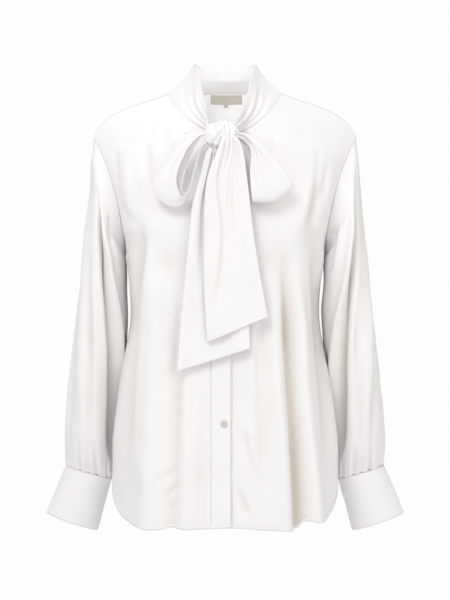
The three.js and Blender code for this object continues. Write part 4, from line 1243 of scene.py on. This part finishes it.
def buttonHeight(x, y):
    radius = math.hypot(x, y)
    edge = button["radius"] - radius
    top = button["height"] - button["bevel"] * (1 - float(smooth(edge / button["bevelWidth"])))
    top -= button["rim"] * float(smooth((edge - button["rimWidth"]) / 0.8))
    for sx in (-1, 1):
        for sy in (-1, 1):
            gap = math.hypot(x - sx * button["holeSpread"], y - sy * button["holeSpread"])
            top -= button["holeDepth"] * (1 - float(smooth((gap - button["holeRadius"] * 0.55) / 0.35)))
    return top


def makeButton(node, cloth):
    low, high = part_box(node)
    middle = [(a + b) / 2 / millimetre for a, b in zip(low, high)]
    gap = np.linalg.norm(cloth.points - np.array(middle), axis=2)
    j, i = np.unravel_index(np.argmin(gap), gap.shape)
    out = Vector(cloth.normals()[j, i])
    if out.dot(Vector(middle) - Vector((0, 20, middle[2]))) < 0:
        out = -out
    surface = Vector(cloth.points[j, i])
    seat = Vector(middle) - out * ((Vector(middle) - surface).dot(out) - button["standOff"])
    turn = out.to_track_quat("Z", "Y")
    mesh = bmesh.new()
    bmesh.ops.create_grid(mesh, x_segments=button["grid"], y_segments=button["grid"], size=1)
    for vert in mesh.verts:
        x, y = vert.co.x, vert.co.y
        u = x * math.sqrt(1 - y * y / 2) * button["radius"]
        w = y * math.sqrt(1 - x * x / 2) * button["radius"]
        vert.co = Vector((u, w, buttonHeight(u, w)))
    rim = [edge for edge in mesh.edges if edge.is_boundary]
    made = bmesh.ops.extrude_edge_only(mesh, edges=rim)
    for vert in [item for item in made["geom"] if isinstance(item, bmesh.types.BMVert)]:
        vert.co.x *= button["underside"]
        vert.co.y *= button["underside"]
        vert.co.z = 0
    edges = [edge for edge in mesh.edges if edge.is_boundary]
    bmesh.ops.contextual_create(mesh, geom=edges)
    for vert in mesh.verts:
        vert.co = (seat + turn @ vert.co) * millimetre
    for face in mesh.faces:
        face.smooth = len(face.verts) == 4
    bmesh.ops.recalc_face_normals(mesh, faces=mesh.faces)
    enter(linkMesh(node + "_disc", mesh, buttonMaterial), node)
    stitches = bmesh.new()
    thick = thread["radius"]
    for way in (45, 135):
        made = bmesh.ops.create_cone(
            stitches, segments=8, radius1=thick, radius2=thick, depth=thread["length"], cap_ends=True
        )
        heading = Vector((math.cos(math.radians(way)), math.sin(math.radians(way)), 0))
        for vert in made["verts"]:
            lengthwise = vert.co.z
            rise = vert.co.y - thread["bend"] * lengthwise**2 + thread["lift"]
            spot = Vector((lengthwise, vert.co.x, rise))
            spot.rotate(Vector((1, 0, 0)).rotation_difference(heading))
            spot.z += button["height"] - button["rim"]
            vert.co = (seat + turn @ spot) * millimetre
    enter(linkMesh(node + "_thread", stitches, threadMaterial))


for k in (1, 2, 3, 4):
    makeButton(f"button_front_{k}", frontRightCloth)
for key in ("right", "left"):
    for k in (1, 2):
        makeButton(f"button_cuff_{key}_{k}", cuffCloths[key])
print("buttons")

# Labels inside the back neck

label = {"wall": 0.5, "gap": 1.2, "tabGap": 2.1}
search = {"startUp": 0.99, "halfBack": 190, "rounds": 30, "caution": 900}


def labelSeat(x, z):  # the place on the back whose x and z these are, found in small steps
    u = 0.5 - x / 2 / search["halfBack"] * 0.5
    v = search["startUp"]
    for _ in range(search["rounds"]):
        point = backCloth.at(u, v)
        u = min(1, max(0, u + (point[0] - x) / search["caution"]))
        v = min(0.999, max(0, v + (z - point[2]) / search["caution"]))
    return u, v


def makeLabel(node, gap):
    low, high = [Vector(c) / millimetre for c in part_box(node)]

    def spot(t, across):
        x = low.x + (high.x - low.x) * t
        z = low.z + (high.z - low.z) * across
        return backCloth.at(*labelSeat(x, z), -gap)

    spec = {"flat": (high.x - low.x, high.z - low.z), "wall": label["wall"]}
    piece = strip(node + "_tape", spec, spot, 24, 8, material=tapeMaterial)
    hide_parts(node)
    return piece


labelPiece = makeLabel("label_neck", label["gap"])
tabPiece = makeLabel("label_size", label["tabGap"])
print("labels")

# Floor

floor = {"radius": 3.4, "height": -1.4, "shade": (0.9, 0.9, 0.895), "colour": (0.93, 0.93, 0.925)}


def addFloor():
    mesh = bmesh.new()
    bmesh.ops.create_circle(mesh, cap_ends=True, segments=96, radius=floor["radius"])
    for vert in mesh.verts:
        vert.co.z = floor["height"]
    finish = Finish("floor")
    place = finish.node("TexCoord", output=3)
    colour = finish.blend(finish.noise(place, 1.4), floor["shade"], floor["colour"])
    linkMesh("floor", mesh, finish.close({"Base Color": colour, "Roughness": 0.8}))


addFloor()
print("floor")
